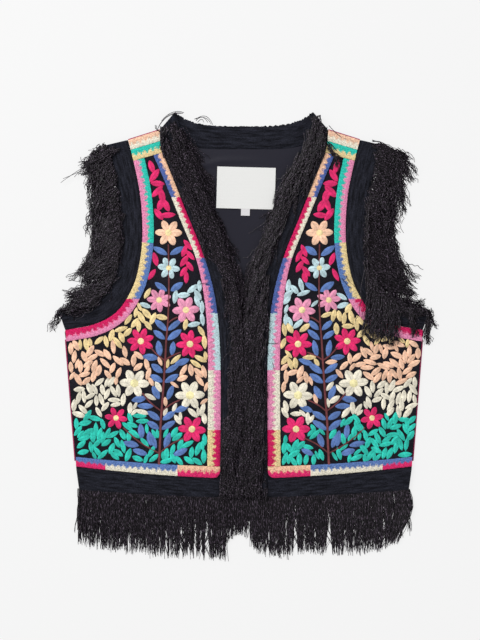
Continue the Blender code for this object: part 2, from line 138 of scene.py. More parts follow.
# x, y, radius, petals, turn, colour: the flowers of one front.
FLOWERS = (
    (94.4, 126.5, 17, 6, 2, "peach"), (94, 82.5, 14, 6, 8, "sky"),
    (106, 42.5, 15.5, 7, 4, "petal_pink"), (72.5, 30, 17, 6, -6, "petal_pink"),
    (129, -9, 17, 7, 5, "magenta"), (67.5, -12.5, 17.5, 7, -4, "magenta"),
    (137, -61.5, 18.5, 6, 4, "cream"), (67.5, -76.5, 18.5, 6, -3, "cream"),
    (160, -105, 14.5, 6, 10, "magenta"), (65, -118.8, 17.5, 6, 3, "magenta"),
)
# x, y: the main stem from its top flower to the hem trim.
STEM = (
    (94.4, 112), (93.8, 55), (95, 17), (97, -8), (98.8, -39), (101.3, -76), (103.8, -108),
    (105, -139), (106.2, -163),
)
STEM_BY_HEIGHT = [(-y, x) for x, y in STEM]
STEM_RADIUS = (0.95, 1.6)
# from_x, from_y, to_x, to_y: branches from the stem to the flowers.
BRANCHES = (
    (95, 13.5, 83, 21), (98.8, -33, 117, -16), (98.8, -33, 79, -23), (102.8, -96.5, 127, -74),
    (102.8, -96.5, 80, -82.5), (105.8, -149, 151, -117), (105.8, -149, 75, -130),
)
BRANCH_RADIUS = 0.95
# y, tilt_up, way_out: pairs of blue leaves beside the stem.
STEM_LEAVES = (
    (104, 32, 10.5), (59, 34, 10), (11, 42, 8.5), (-1, 38, 9.5), (-18, 80, 8.5), (-43, 34, 9.5),
    (-55.5, 32, 9.5), (-73, 66, 9), (-102, 34, 9.5), (-114, 34, 9.5), (-133, 68, 9),
)
# x, y, angle: blue leaves by the branches.
BRANCH_LEAVES = (
    (117, -29, 6), (77.5, -35, 160), (131.5, -81.5, 170), (123.5, -90, 2), (78, -93.5, 158),
    (128.5, -121.5, 84), (117.5, -130.5, 82), (141.5, -137.5, 12), (130, -147.5, 18),
    (79.5, -147.5, 155),
)
# x, y, angle: magenta leaves above the top flower.
TOP_LEAVES = (
    (115.5, 209, 70), (112, 198, 122), (108, 188, 2), (108.5, 178, 135), (102.5, 172.5, 78),
    (104, 162, 108), (97, 160.5, 62), (106.5, 149.5, 50), (95.5, 148.5, 172),
)
# Highest leaf that grows by rule, highest place tried, and tries of a sprig and a single leaf.
FILL_FROM_Y = 40
FILL_TRIED_TO_Y = 72
FILL_TRIES = (1600, 9000)
# x, y, way, leaves, bend, colour: sprigs set one by one where the front is narrow.
SPRIGS = (
    (74, 116, -103, 7, 3, "magenta"), (80, 101, -88, 4, 6, "magenta"),
    (111, 106, -78, 2, -30, "magenta"), (110.5, 86, -80, 2, 22, "magenta"),
    (88, 42, 48, 6, -16, "sky"), (56, 66, -60, 4, -20, "sky"), (54, 31, -100, 4, -22, "sky"),
    (129, 38, 200, 1, 0, "sky"), (104, 22, 190, 1, 0, "sky"), (88, 23, 245, 1, 0, "sky"),
)
# down_to_y, colour: what grows on the armhole side of the stem, and on its opening side.
OUTER_ZONES = ((-13, "yellow"), (-61, "peach"), (-100, "cream"), (-172, "green"))
INNER_ZONES = ((12, "sky"), (-38, "yellow"), (-86, "peach"), (-113, "cream"), (-172, "green"))
# How dark the painted shade in the groove along a leaf is, and a place across that is clear of any
# groove.
GROOVE_PAINTED_SHADE = 0.78
NO_GROOVE = 5
LEAF = {"length": 17.2, "width": 7.1, "height": 1.4}
PETAL_HEIGHT = 1.5
# How large a listed leaf is, by its yarn.
BLUE_LEAF = 1.2
TOP_LEAF = 1.18
# How close leaves lie: one is taken for so much smaller when its room is looked for.
SPRIG_TIGHT = 0.62
FILL_TIGHT = (0.91, 0.83)

# share, root_angle, tip_angle, spread, length, root_from: how each fringe is combed along its
# band, from the shoulder down. Angles are from straight down, outwards, and roots lie from a
# share of the way from the seam (0) out to the edge (1).
FRINGE_COMB = {
    ("front", "left"): (
        (0, -2, -10, 12, 38, 0), (0.05, -34, -24, 10, 52, 0.05), (0.12, -46, -24, 10, 60, 0.1),
        (0.26, -46, -22, 11, 60, 0.1), (0.38, -42, -18, 12, 58, 0.2),
        (0.44, -26, -15, 10, 56, 0.45), (0.52, -12, -6, 8, 56, 0.6), (0.62, -2, -2, 8, 56, 0.55),
        (0.74, 4, 0, 8, 56, 0.3), (0.9, 6, -2, 9, 56, 0.1), (1, 6, -4, 10, 52, 0.05),
    ),
    ("front", "right"): (
        (0, 6, 0, 12, 38, 0.1), (0.04, -4, 0, 12, 44, 0.2), (0.08, -30, -18, 8, 50, 0.35),
        (0.25, -34, -20, 7, 54, 0.5), (0.4, -28, -18, 9, 54, 0.45), (0.5, -10, -6, 10, 56, 0.25),
        (0.6, -2, -3, 9, 56, 0.15), (0.8, -2, -4, 8, 56, 0.15), (1, 2, -6, 8, 52, 0.2),
    ),
    ("arm", "left"): (
        (0, 58, 46, 8, 36, 0.88), (0.06, 68, 22, 9, 48, 0.88), (0.14, 80, 10, 9, 60, 0.88),
        (0.27, 86, 8, 9, 70, 0.88), (0.44, 82, 8, 9, 68, 0.88), (0.55, 86, 36, 9, 70, 0.9),
        (0.64, 96, 60, 7, 68, 0.95), (0.74, 102, 80, 6, 54, 0.98), (0.81, 104, 84, 6, 34, 0.98),
        (0.89, 106, 86, 7, 16, 0.98), (0.95, 84, 50, 8, 18, 0.96), (1, 40, 14, 9, 36, 0.8),
    ),
    ("arm", "right"): (
        (0, 92, 30, 7, 56, 0.9), (0.05, 88, 18, 9, 66, 0.9), (0.15, 84, 8, 9, 68, 0.92),
        (0.3, 78, 0, 9, 66, 0.9), (0.42, 70, 10, 9, 66, 0.82), (0.52, 78, 26, 8, 72, 0.8),
        (0.62, 80, 34, 8, 72, 0.84), (0.71, 80, 40, 8, 58, 0.84), (0.79, 92, 64, 7, 42, 0.94),
        (0.85, 108, 98, 7, 30, 0.97), (0.91, 104, 90, 7, 20, 0.97), (0.95, 84, 50, 8, 16, 0.96),
        (1, 40, 10, 9, 28, 0.85),
    ),
}
# How much of its outward turn a lock still has at its root, from and to.
FALL = {"front": (0.8, 1), "arm": (0.1, 1)}
FRINGE_FOOT_Y = -196
# Below it the side seam bounds the vest, which ends at the foot.
FRONT_FROM_SIDE_Y = 30
SIDE_FOOT_Y = -165
# How much of its way a strand is pushed that would lie over a trim or the label.
PUSH = 0.85
# root_x, root_y, tip_x, tip_y, width, strands: tufts that lie over a fringe, on the right half.
TUFTS = {
    ("front", "left"): ((98, 262, 99, 242, 2.6, 8),),
    ("front", "right"): ((104, 240, 118, 209, 2.6, 12),),
    ("arm", "left"): ((162, 230, 203, 210, 4.6, 80), (168, 226, 198, 190, 3.6, 50)),
    ("arm", "right"): (
        (156, 86, 166, 2, 4, 56), (162, 80, 171, -8, 4, 64), (169, 66, 174, -4, 3.6, 44),
        (181, 54, 189, -14, 3.2, 48), (208, 36, 213, -4, 2.2, 26), (168, 70, 207, 64, 3.6, 44),
        (174, 58, 216, 54, 3.6, 44), (229, 30, 231, -13, 2.4, 36), (164, 236, 205, 217, 4.6, 70),
        (170, 234, 208, 206, 3.6, 40),
    ),
}
# Locks of an arm fringe that hang from within it, how far out and how long, as shares.
HANGING = {"locks": 1.35, "from": -2, "reach": 0.42, "length": 0.6, "down_to": 0.64}
# from_x, from_y, by_x, by_y, to_x, to_y: single strands that stray from the rest.
WISPS = {
    ("front", "left"): (
        (-76, 275, -97, 280, -108, 256), (-78, 275, -99, 277, -109, 253),
        (-75, 276, -90, 282, -103, 266), (-60, 268, -46, 279, -39, 261),
        (-62, 268, -47, 275, -41, 262), (-60, 266, -52, 276, -45, 264),
        (-58, 264, -52, 272, -50, 264), (-55, 62.5, -48, 63.5, -43, 61.5),
        (-66, 134, -70, 130, -67, 126),
    ),
    ("front", "right"): (
        (26, 56, 30, 44, 41, 30), (20, -8, 32, -14, 44, -11), (18, -14, 34, -22, 38, -46),
        (22, -58, 30, -66, 38, -65), (24, 6, 34, 12, 36, -8), (106, 260, 124, 240, 130, 244),
        (104, 240, 119, 232, 122, 208), (103, 238, 116, 228, 118, 205),
    ),
    ("arm", "left"): (
        (-166, 222, -196, 206, -226, 194), (-164, 226, -200, 211, -229, 189),
        (-166, 224, -196, 216, -212, 196),
    ),
    ("arm", "right"): ((127, 74, 130, 64, 142, 57), (122, 70, 131, 58, 140, 52)),
}
# x, tip_y: how far down a hem fringe hangs.
HEM_TIPS = {
    "left": (
        (2, -250), (12, -253), (20, -260), (24, -283), (36, -281), (55, -278), (86, -277),
        (118, -276), (150, -271), (180, -267), (212, -263),
    ),
    "right": (
        (2, -252), (10, -263), (15, -272), (32, -276), (58, -279), (76, -272), (108, -275),
        (164, -272), (212, -261),
    ),
    "back": ((-212, -258), (0, -246), (212, -258)),
}
# x, push: where the hem fringe parts.
HEM_PARTINGS = {
    "left": ((46.6, 3), (54, 1.6), (61, 1.5), (69, 1.7), (78.5, 2), (88, 1.6), (97, 1.4)),
    "right": ((64.5, 3), (76, 1.2), (89, 1.2), (106.5, 3), (121, 1.2), (147, 1.3), (175, 1.8)),
}
HEM_END_BOW = {"left": (3, -4), "right": (24, -27)}
STRAND = {"root": 0.58, "tip": 0.34}
# points and crinkle of a long strand and of a short straight one.
CURLY = {"points": 11, "crinkle": 1.2}
STRAIGHT = {"points": 7, "crinkle": 0.5}

# How many of a lock's strands are dark, from and to.
# The left armhole fringe gets more of them: painted shade that offsets the lamp's stronger light on
# that side.
DARK = {"arm_left": (0.72, 0.95), "else": (0.2, 0.82)}

# Locks of each fringe, and the strands in an average one.
LOCKS = {"front": (158, 13), "arm": (100, 9), "hem": (174, 9), "back": (80, 7)}

# The photo's frame: 1.25 mm for each of its 480 by 640 pixels, seen from straight above.
FRAME_CENTRE = (-5, 17.5)
FRAME_HEIGHT = 800
LENS = 90
SENSOR = 36

SIDES = (("left", -1), ("right", 1))


def soft_step(value, low, high):
    share = min(max((value - low) / (high - low), 0), 1)
    return share * share * (3 - 2 * share)


def mix(start, end, share):
    return start + (end - start) * share


def read_table(table, at):
    """The other columns of a table whose first column is the place, mixed linearly."""
    for low, high in zip(table, table[1:]):
        if at <= high[0] or high is table[-1]:
            share = min(max((at - low[0]) / (high[0] - low[0]), 0), 1)
            return [mix(a, b, share) for a, b in zip(low[1:], high[1:])]


def linear(hexa):
    """An sRGB hex colour as linear numbers."""
    shown = [int(hexa[k : k + 2], 16) / 255 for k in (0, 2, 4)]
    return (*(c / 12.92 if c <= 0.04045 else ((c + 0.055) / 1.055) ** 2.4 for c in shown), 1)


def towards(start, end, distance):
    return start + (end - start).normalized() * distance


def heading(degrees):
    return Vector((math.cos(math.radians(degrees)), math.sin(math.radians(degrees))))


def smooth_rows(rows, steps=12):
    """A Catmull-Rom curve through the rows, which carries every column along."""
    points = [Vector(row) for row in rows]
    ends = [2 * points[0] - points[1], *points, 2 * points[-1] - points[-2]]
    path = []
    for before, start, end, after in zip(ends, ends[1:], ends[2:], ends[3:]):
        for step in range(steps):
            t = step / steps
            curve = 2 * before - 5 * start + 4 * end - after
            twist = 3 * start - before - 3 * end + after
            path.append(start + 0.5 * t * ((end - before) + t * (curve + t * twist)))
    return path + [points[-1]]


def below(path, height):
    """The stretch of a path from where its seam passes the height."""
    for index, (start, end) in enumerate(zip(path, path[1:])):
        if start[1] >= height >= end[1]:
            share = (start[1] - height) / (start[1] - end[1])
            return [mix(start, end, share)] + path[index + 1 :]


def lengths(path):
    along = [0]
    for start, end in zip(path, path[1:]):
        along.append(along[-1] + math.hypot(end[0] - start[0], end[1] - start[1]))
    return along


def at_length(path, along, wanted):
    for index in range(len(path) - 1):
        if wanted <= along[index + 1] or index == len(path) - 2:
            span = along[index + 1] - along[index]
            return mix(path[index], path[index + 1], (wanted - along[index]) / span)


def stations(path, count):
    along = lengths(path)
    return [at_length(path, along, along[-1] * k / count) for k in range(count + 1)]


def seam(row):
    return Vector(row[:2])


def partner(row):
    return Vector(row[2:4])


def offset_line(points, distance):
    """The points moved sideways, to the right of their way."""
    moved = []
    for index, point in enumerate(points):
        way = (points[min(index + 1, len(points) - 1)] - points[max(index - 1, 0)]).normalized()
        moved.append(point + Vector((way.y, -way.x)) * distance)
    return moved


def finer(pairs, steps):
    """Pairs of points, as smooth rows in between."""
    return [(seam(row), partner(row)) for row in smooth_rows([(*a, *b) for a, b in pairs], steps)]


# The seams of the right half, at the stations of the solids.
front_path = smooth_rows(FRONT_EDGE)
arm_path = smooth_rows(ARMHOLE)
to_hem = below(front_path, SHOULDER_SEAM_Y["front"])
past_hem = below(to_hem, HEM_SEAM_FRONT_Y)
front_rows = stations(to_hem[: 1 - len(past_hem)] + past_hem[:1], FRONT_STATIONS)
arm_rows = stations(below(arm_path, SHOULDER_SEAM_Y["armhole"]), ARMHOLE_STATIONS)
side_top, side_foot = seam(arm_rows[-1]), Vector(SIDE_SEAM_HEM)
side_count = FRONT_STATIONS - ARMHOLE_STATIONS
side_line = [mix(side_top, side_foot, k / side_count) for k in range(1, side_count + 1)]
panel = []
for inner, outer in zip(map(seam, front_rows), [*map(seam, arm_rows), *side_line]):
    panel.append((towards(inner, outer, GAP / 2), towards(outer, inner, GAP / 2)))
# How far out the opening, the fronts' seam and the armhole's edge lie, by height.
opening_at = {round(row[3]): row[2] for row in smooth_rows(FRONT_EDGE, 80)}
front_seam_at = {round(row[1]): row[0] for row in smooth_rows(FRONT_EDGE, 80)}
arm_edge_at = {round(row[3]): row[2] for row in smooth_rows(ARMHOLE, 80)}


def hem_seam(share, up=0):
    sag = HEM_SEAM_SAG * 4 * share * (1 - share)
    return mix(seam(front_rows[-1]), side_foot, share) + Vector((0, up - sag))


def front_under(x, y):
    """Underside of the front layer, which rides over lining and neck band."""
    return CLOTH + GAP + FRONT_LIFT * (1 - soft_step(abs(x), LIFT_FULL_TO, LIFT_NONE_FROM))


def front_top(x, y):
    return front_under(x, y) + CLOTH


def on_floor(x, y):
    return 0


def top_of_vest(x, y):
    """Height of what a fringe lies on at a place: the floor, the lining or the fronts."""
    x, level = abs(x), round(y)
    if x < opening_at.get(level, 0):
        return CLOTH + GAP + LINING
    outer = arm_edge_at.get(level, ARMHOLE[0][2])
    if level < FRONT_FROM_SIDE_Y:
        outer = mix(side_top.x, side_foot.x, min(max(y / SIDE_FOOT_Y, 0), 1))
    if x > outer or y < FRONT_HEM[0][1]:
        return 0.3
    return front_under(x, y) + BAND


def off_the_trim(x, y, t):
    """Keeps a front fringe on its own side of the front's seam, and beside the label."""
    over = abs(x) + 1.2 - front_seam_at.get(round(y), 400)
    if over > 0:
        return math.copysign(abs(x) - PUSH * over, x)
    short = LABEL_SIZE[0] / 2 + 2 - abs(x)
    beside = soft_step(y, 150, 158) * (1 - soft_step(y, 208, 216))
    return math.copysign(abs(x) + PUSH * max(short, 0) * beside, x)


def cloth_wall(pairs, columns, under, thickness, relief=None, bend=None):
    """A closed cloth wall between two rails, which keeps its share across and mm along.

    relief(share, along, x, y) raises its upper face, and bend(share, along, x, y) moves a point
    of the wall sideways.
    """
    along = lengths([mix(a, b, 0.5) for a, b in pairs])
    rows = len(pairs) - 1
    mesh = bmesh.new()
    bmesh.ops.create_grid(mesh, x_segments=columns, y_segments=rows, size=1)
    share_of, along_of = (mesh.verts.layers.float.new(key) for key in ("share", "along"))
    share_of, along_of = (mesh.verts.layers.float[key] for key in ("share", "along"))
    for vert in mesh.verts:
        share = round((vert.co.x + 1) / 2 * columns) / columns
        row = round((vert.co.y + 1) / 2 * rows)
        place = mix(*pairs[row], share)
        if bend:
            place += bend(share, along[row], *place)
        vert.co = (*place, under(*place))
        vert[share_of], vert[along_of] = share, along[row]
    top = bmesh.ops.extrude_face_region(mesh, geom=mesh.faces[:], use_keep_orig=True)
    for vert in top["geom"]:
        if isinstance(vert, bmesh.types.BMVert):
            raised = relief(vert[share_of], vert[along_of], vert.co.x, vert.co.y) if relief else 0
            vert.co.z += thickness + raised
    return mesh


def outwards(mesh):
    bmesh.ops.recalc_face_normals(mesh, faces=mesh.faces)
    if mesh.calc_volume(signed=True) < 0:
        bmesh.ops.reverse_faces(mesh, faces=mesh.faces)


def put(name, data):
    """A new object of the data, in the scene."""
    thing = bpy.data.objects.new(name, data)
    bpy.context.scene.collection.objects.link(thing)
    return thing


def dress(name, data, materials, slot, replaced=None, sharp=50):
    """Makes mesh data a piece that rides on the vest."""
    for material in materials:
        data.materials.append(material)
    data.shade_smooth()
    data.set_sharp_from_angle(angle=math.radians(sharp))
    thing = put(name, data)
    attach(thing, "root")
    if replaced:
        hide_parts(replaced)
    return thing


def piece(name, mesh, material, slot, replaced=None, mirror=1):
    """Finishes a bmesh in millimetres as a piece of the right half, or mirrored to the left."""
    bmesh.ops.scale(mesh, vec=(mirror * MM, MM, MM), verts=mesh.verts)
    if mirror < 0:
        bmesh.ops.reverse_faces(mesh, faces=mesh.faces)
    data = bpy.data.meshes.new(name)
    mesh.to_mesh(data)
    mesh.free()
    return dress(name, data, [material], slot, replaced)


def wall_piece(name, mesh, material, slot, replaced, mirror=1):
    """Finishes a cloth wall, with its share across and its length along as its UV map."""
    outwards(mesh)
    share_of, along_of = (mesh.verts.layers.float[key] for key in ("share", "along"))
    uv = mesh.loops.layers.uv.new("UVMap")
    for face in mesh.faces:
        for loop in face.loops:
            loop[uv].uv = (loop.vert[share_of], loop.vert[along_of])
    return piece(name, mesh, material, slot, replaced, mirror)


def strip_sheet(thing, pairs):
    """Works out a strip's mean width and its length, and keeps neither."""
    width = sum((b - a).length for a, b in pairs) / len(pairs) * MM
    length = lengths([mix(a, b, 0.5) for a, b in pairs])[-1] * MM


def panel_sheet(thing, pairs, with_pieces=()):
    """Works out the box round a shaped panel's cut, and keeps it nowhere."""
    ring = [a for a, b in pairs] + [b for a, b in reversed(pairs)]
    flat = tuple((max(places) - min(places)) * MM for places in zip(*ring))


def node(tree, kind, inputs=None, out=0, **settings):
    """Adds a node and returns an output. An input that is a socket is linked, any other is set."""
    made = tree.nodes.new(kind)
    for key, value in settings.items():
        setattr(made, key, value)
    for key, value in (inputs or {}).items():
        if isinstance(value, bpy.types.NodeSocket):
            tree.links.new(value, made.inputs[key])
        else:
            made.inputs[key].default_value = value
    return made.outputs[out]


def surface(name, colour, roughness, specular, sheen=0):
    """A new material and its node tree, with the values that are the same all over."""
    material = bpy.data.materials.new(name)
    material.use_nodes = True
    values = {"Base Color": linear(COLOUR[colour]), "Roughness": roughness, "Sheen Weight": sheen}
    values.update({"Specular IOR Level": specular, "Sheen Roughness": 0.6})
    for key, value in values.items():
        material.node_tree.nodes["Principled BSDF"].inputs[key].default_value = value
    return material, material.node_tree


def finished(material, shade, height=None, depth=0):
    """Gives a material its colour, and a relief so many millimetres deep."""
    tree = material.node_tree
    shader = tree.nodes["Principled BSDF"]
    if shade:
        tree.links.new(shade, shader.inputs["Base Color"])
    if height:
        relief = node(tree, "ShaderNodeBump", {"Height": height, "Distance": depth * MM})
        tree.links.new(relief, shader.inputs["Normal"])
    return material


def shaded(tree, colour, pattern, low, high, start=0.32, end=0.68):
    """The colour darkened and lightened with a pattern, most of which lies from start to end."""
    colour = linear(COLOUR[colour])[:3] if isinstance(colour, str) else colour
    reach = {"From Min": start, "From Max": end, "To Min": low, "To Max": high}
    scale = node(tree, "ShaderNodeMapRange", {"Value": pattern, **reach})
    return node(tree, "ShaderNodeVectorMath", {0: colour, "Scale": scale}, operation="SCALE")


def grain(tree, size, detail=3, place=None):
    """A mottled pattern, or one on a given place, whose features measure so many millimetres."""
    place = place or node(tree, "ShaderNodeTexCoord", out="Object")
    inputs = {"Vector": place, "Scale": 1 / (size * MM), "Detail": detail}
    return node(tree, "ShaderNodeTexNoise", inputs)


def ground_wool():
    """Black wool felt: no gloss, with a short nap that mottles it and hides the weave."""
    material, tree = surface("ground_wool", "ground", 0.95, 0.12)
    nap = grain(tree, 1.6, 4)
    mottled = shaded(tree, "ground", nap, 0.6, 1.5)
    return finished(material, shaded(tree, mottled, grain(tree, 22), 0.75, 1.25), nap, 0.35)


def lining_satin():
    """Navy viscose satin: smooth, with a broad soft light and hardly a weave to see."""
    material, tree = surface("lining_satin", "lining", 0.42, 0.18, 0.03)
    return finished(material, None, grain(tree, 3), 0.12)


def knit_braid():
    """Wool braid in rib knit: matt, with broken cords along it and a hairy surface."""
    material, tree = surface("knit_braid", "braid", 0.95, 0.12)
    place = node(tree, "ShaderNodeUVMap", uv_map="UVMap")
    cords = node(tree, "ShaderNodeMapping", {"Vector": place, "Scale": (11, 0.05, 1)})
    stitch = node(tree, "ShaderNodeTexNoise", {"Vector": cords, "Scale": 1, "Detail": 2})
    fuzz = grain(tree, 1.4)
    shade = shaded(tree, shaded(tree, "braid", stitch, 0.45, 1.65), fuzz, 0.6, 1.4)
    height = node(tree, "ShaderNodeMath", {0: fuzz, 1: stitch}, operation="ADD")
    return finished(material, shade, height, 1.2)


def fringe_viscose(tone, wide, long):
    """Twisted viscose yarn: nearly black, with painted glints where its twist pattern runs high.

    The painted glints are so many millimetres wide and, down the vest, so many long.
    """
    material, tree = surface(f"{tone}_{long:.0f}", tone, 0.42, 0.24)
    inputs = {"Vector": node(tree, "ShaderNodeTexCoord", out="Object"), "Scale": (1, wide / long, 1)}
    twist = grain(tree, wide, 1, node(tree, "ShaderNodeMapping", inputs))
    shade = shaded(tree, tone, twist, 0.55, 1.3)
    # Painted glints: where the twist pattern runs high, the colour is made up to eleven times
    # lighter.
    return finished(material, shaded(tree, shade, twist, 1, 11, 0.56, 0.72))


def trim_wool():
    """Two rows of wool stitches that meet in teeth: matt and hairy, with small dark holes."""
    material, tree = surface("trim_wool", "pink", 0.9, 0.15, 0.05)
    place = {"Vector": node(tree, "ShaderNodeUVMap", uv_map="UVMap")}
    across, along = (node(tree, "ShaderNodeSeparateXYZ", place, out=axis) for axis in "XY")
    tooth = node(tree, "ShaderNodeMath", {0: along, 1: TOOTH / 2}, operation="PINGPONG")
    reach = {"From Max": TOOTH / 2, "To Min": 0.5 - TOOTH_DEPTH, "To Max": 0.5 + TOOTH_DEPTH}
    meet = node(tree, "ShaderNodeMapRange", {"Value": tooth, **reach})
    reach = {"From Min": 0.3, "From Max": 0.7, "To Min": -0.14, "To Max": 0.14}
    ragged = node(tree, "ShaderNodeMapRange", {"Value": grain(tree, 2.4), **reach})
    beyond = node(tree, "ShaderNodeMath", {0: across, 1: meet}, operation="SUBTRACT")
    beyond = node(tree, "ShaderNodeMath", {0: beyond, 1: ragged}, operation="ADD")
    inner = node(tree, "ShaderNodeMapRange", {"Value": beyond, "From Min": -0.09, "From Max": 0.09})
    rows = {0: inner}
    for socket, row in ((6, "outer_yarn"), (7, "inner_yarn")):
        rows[socket] = node(tree, "ShaderNodeAttribute", attribute_name=row)
    blend = node(tree, "ShaderNodeMix", rows, out=2, data_type="RGBA")
    fuzz = grain(tree, 1.5)
    place = {"Vector": node(tree, "ShaderNodeTexCoord", out="Object"), "Scale": 1 / (2.6 * MM)}
    loops = node(tree, "ShaderNodeTexVoronoi", place)
    shade = shaded(tree, blend, fuzz, 0.62, 1.32)
    return finished(material, shaded(tree, shade, loops, 0.78, 1.04, 0.05, 0.3), fuzz, 0.7)


def crewel_wool(yarn):
    """Crewel wool in satin stitch: soft threads whose two banks meet in a groove, with painted shade
    along it.
    """
    material, tree = surface(f"crewel_{yarn}", yarn, 0.85, 0.2, 0.05)
    place = node(tree, "ShaderNodeUVMap", uv_map="UVMap")
    laid = node(tree, "ShaderNodeMapping", {"Vector": place, "Scale": (0.5, 1.3, 1)})
    threads = node(tree, "ShaderNodeTexNoise", {"Vector": laid, "Scale": 1, "Detail": 2})
    across = node(tree, "ShaderNodeSeparateXYZ", {"Vector": place})
    across = node(tree, "ShaderNodeMath", {0: across}, operation="ABSOLUTE")
    shade = shaded(tree, yarn, threads, 0.9, 1.3)
    shade = shaded(tree, shade, grain(tree, 2.2), 0.92, 1.2)
    shade = shaded(tree, shade, grain(tree, 9, 1), 0.82, 1.18)
    # Painted shade along the groove: darkest at a leaf's middle line, gone 1.1 mm out from it.
    return finished(material, shaded(tree, shade, across, GROOVE_PAINTED_SHADE, 1, 0.1, 1.1), threads, 0.6)


def woven_ribbon(colour):
    """Taffeta ribbon: white and flat, with a fine even weave."""
    material, tree = surface("woven_" + colour, colour, 0.6, 0.3)
    inputs = {"Vector": node(tree, "ShaderNodeTexCoord", out="Object"), "Scale": 1 / (6 * MM)}
    weft = node(tree, "ShaderNodeTexWave", inputs, out="Fac", bands_direction="Y")
    return finished(material, None, weft, 0.05)


def edging_wool():
    """Magenta wool edging: a single matt row of stitches."""
    material, tree = surface("edging_wool", "edging", 0.9, 0.15)
    fuzz = grain(tree, 1.5)
    return finished(material, shaded(tree, "edging", fuzz, 0.6, 1.3), fuzz, 0.5)


FELT = ground_wool()
SATIN = lining_satin()
BRAID = knit_braid()
FRINGE_TONES = ("fringe_deep", "fringe_mid", "fringe_painted_sheen")
FRINGE = [fringe_viscose(tone, 1.5, 1.5) for tone in FRINGE_TONES]
HEM_FRINGE = [fringe_viscose(tone, 0.8, 4) for tone in FRINGE_TONES]
TRIM_WOOL = trim_wool()
CREWEL = {yarn: crewel_wool(yarn) for yarn in STITCH_SLOT}
EDGING = edging_wool()


def loose_edge(seed, size, reach):
    """How far a knitted edge stands out along its length, in loops of uneven size."""

    def at(along):
        wide = noise.noise((along / size, seed, 0))
        small = noise.noise((along / size * 2.7, seed, 5))
        return reach * (wide + 0.5 * small)

    return at


def make_band(name, replaced, pairs, under, thickness, seed, rests_on, mirror=1, ribs=7, loops=0.8):
    """A ribbed braid with rounded sides and a loopy outer edge."""
    swell = loose_edge(seed + 7, 9, 0.35)
    loop = loose_edge(seed, 3.4, loops)

    def relief(share, along, x, y):
        rounded = -0.6 * thickness * abs(2 * share - 1) ** 7
        broken = 0.6 + 0.8 * noise.noise((along / 4, share * ribs * 0.8, seed))
        return rounded + 0.55 * broken * math.cos(math.tau * ribs * share) + swell(along)

    def bend(share, along, x, y):
        if share < 0.9:
            return Vector((0, 0))
        near = min(pairs, key=lambda pair: (pair[1] - Vector((x, y))).length_squared)
        return (near[1] - near[0]).normalized() * loop(along) * (share - 0.9) * 10

    mesh = cloth_wall(pairs, BAND_COLUMNS, under, thickness, relief, bend)
    strip_sheet(wall_piece(name, mesh, BRAID, "knit_band", replaced, mirror), pairs)


def back_neck_rows(steps):
    half = smooth_rows(BACK_NECK, steps)
    return [Vector((-row[0], row[1], -row[2], row[3])) for row in reversed(half[1:])] + half


def make_back_cloth():
    fold = seam(ARMHOLE[0])
    rise = [((row[0] / fold.x + 1) / 2, row[1] - fold.y) for row in back_neck_rows(2)]
    rise = [(0, 0), *rise, (1, 0)]
    rim = [fold, *map(seam, arm_rows)] + [mix(side_top, side_foot, k / 6) for k in range(1, 7)]
    pairs = [(Vector((-p.x + GAP / 2, p.y)), Vector((p.x - GAP / 2, p.y))) for p in rim]
    relax_to = rim[ARMHOLE_STATIONS // 2].y

    def neck_line(share, along, x, y):
        (up,) = read_table(rise, share)
        return Vector((0, (up + NECK_TUCK) * soft_step(y, relax_to, fold.y)))

    mesh = cloth_wall(pairs, 36, on_floor, CLOTH, bend=neck_line)
    panel_sheet(wall_piece("back_cloth", mesh, FELT, "ground_wool", "back_panel"), pairs)


def make_back_bands():
    pairs = [(seam(row) + Vector((0, GAP)), partner(row)) for row in back_neck_rows(20)]
    names = ("neck_braid", "back_neck_band")
    make_band(*names, pairs, on_floor, NECK_BAND, 3, "back_cloth", ribs=8, loops=1.9)
    half, foot = SIDE_SEAM_HEM[0] - GAP, FRONT_HEM[-1][0]
    pairs = []
    for k in range(-40, 41):
        top = Vector((half * k / 40, SIDE_SEAM_HEM[1] - GAP))
        pairs.append((top, Vector((foot * k / 40, BACK_HEM_EDGE_Y))))
    make_band("back_hem_braid", "back_hem_band", pairs, on_floor, CLOTH, 11, "back_cloth")


def make_lining():
    top = [seam(row) for row in back_neck_rows(6) if abs(row[0]) < LINING_HALF_WIDTH]
    taper = 1 - LINING_TAPER
    pairs = [(Vector((p.x, p.y + 0.15)), Vector((p.x * taper, LINING_FOOT_Y))) for p in top]

    def crease(share, along, x, y):
        """A soft fold above the label that dies out to the right, and slack waves below."""
        line = 212 + 5 * soft_step(x, -48, -24)
        fold = 1.2 * math.exp(-(((y - line) / 2.6) ** 2)) * (1 - soft_step(x, -20, 40))
        slack = soft_step(y, 60, 120) * (1 - soft_step(y, 200, 225))
        return fold + 0.5 * math.sin(x / 17 + y / 31) * slack

    mesh = cloth_wall(pairs, 60, lambda x, y: CLOTH + GAP, LINING, crease)
    lining = wall_piece("lining", mesh, SATIN, "lining_satin", "back_lining")
    panel_sheet(lining, pairs)


def make_label():
    across = Vector((math.cos(LABEL_TURN), math.sin(LABEL_TURN)))
    up = Vector((-across.y, across.x))
    under = CLOTH + GAP + LINING + 0.7

    def patch(name, size, middle, replaced, curl, colour):
        rows = [middle + up * size[1] * (k / 24 - 0.5) for k in range(25)]
        pairs = [(row - across * size[0] / 2, row + across * size[0] / 2) for row in rows]

        def lie(x, y):
            beside = (Vector((x, y)) - middle).dot(across) / size[0]
            above = (Vector((x, y)) - middle).dot(up) / size[1]
            return under + curl * (2 * beside * beside + 0.8 * above * above)

        mesh = cloth_wall(pairs, 24, lie, LABEL / 2)
        return wall_piece(name, mesh, woven_ribbon(colour), "label_cloth", replaced), pairs

    centre = Vector(LABEL_CENTRE)
    drop = (LABEL_SIZE[1] + TAB_SIZE[1]) / 2 - 0.5
    tab, _ = patch("woven_size_tab", TAB_SIZE, centre - up * drop, "size_tab", 0.2, "tab")
    label, pairs = patch("woven_neck_label", LABEL_SIZE, centre, "neck_label", 1.2, "label")
    strip_sheet(label, pairs)


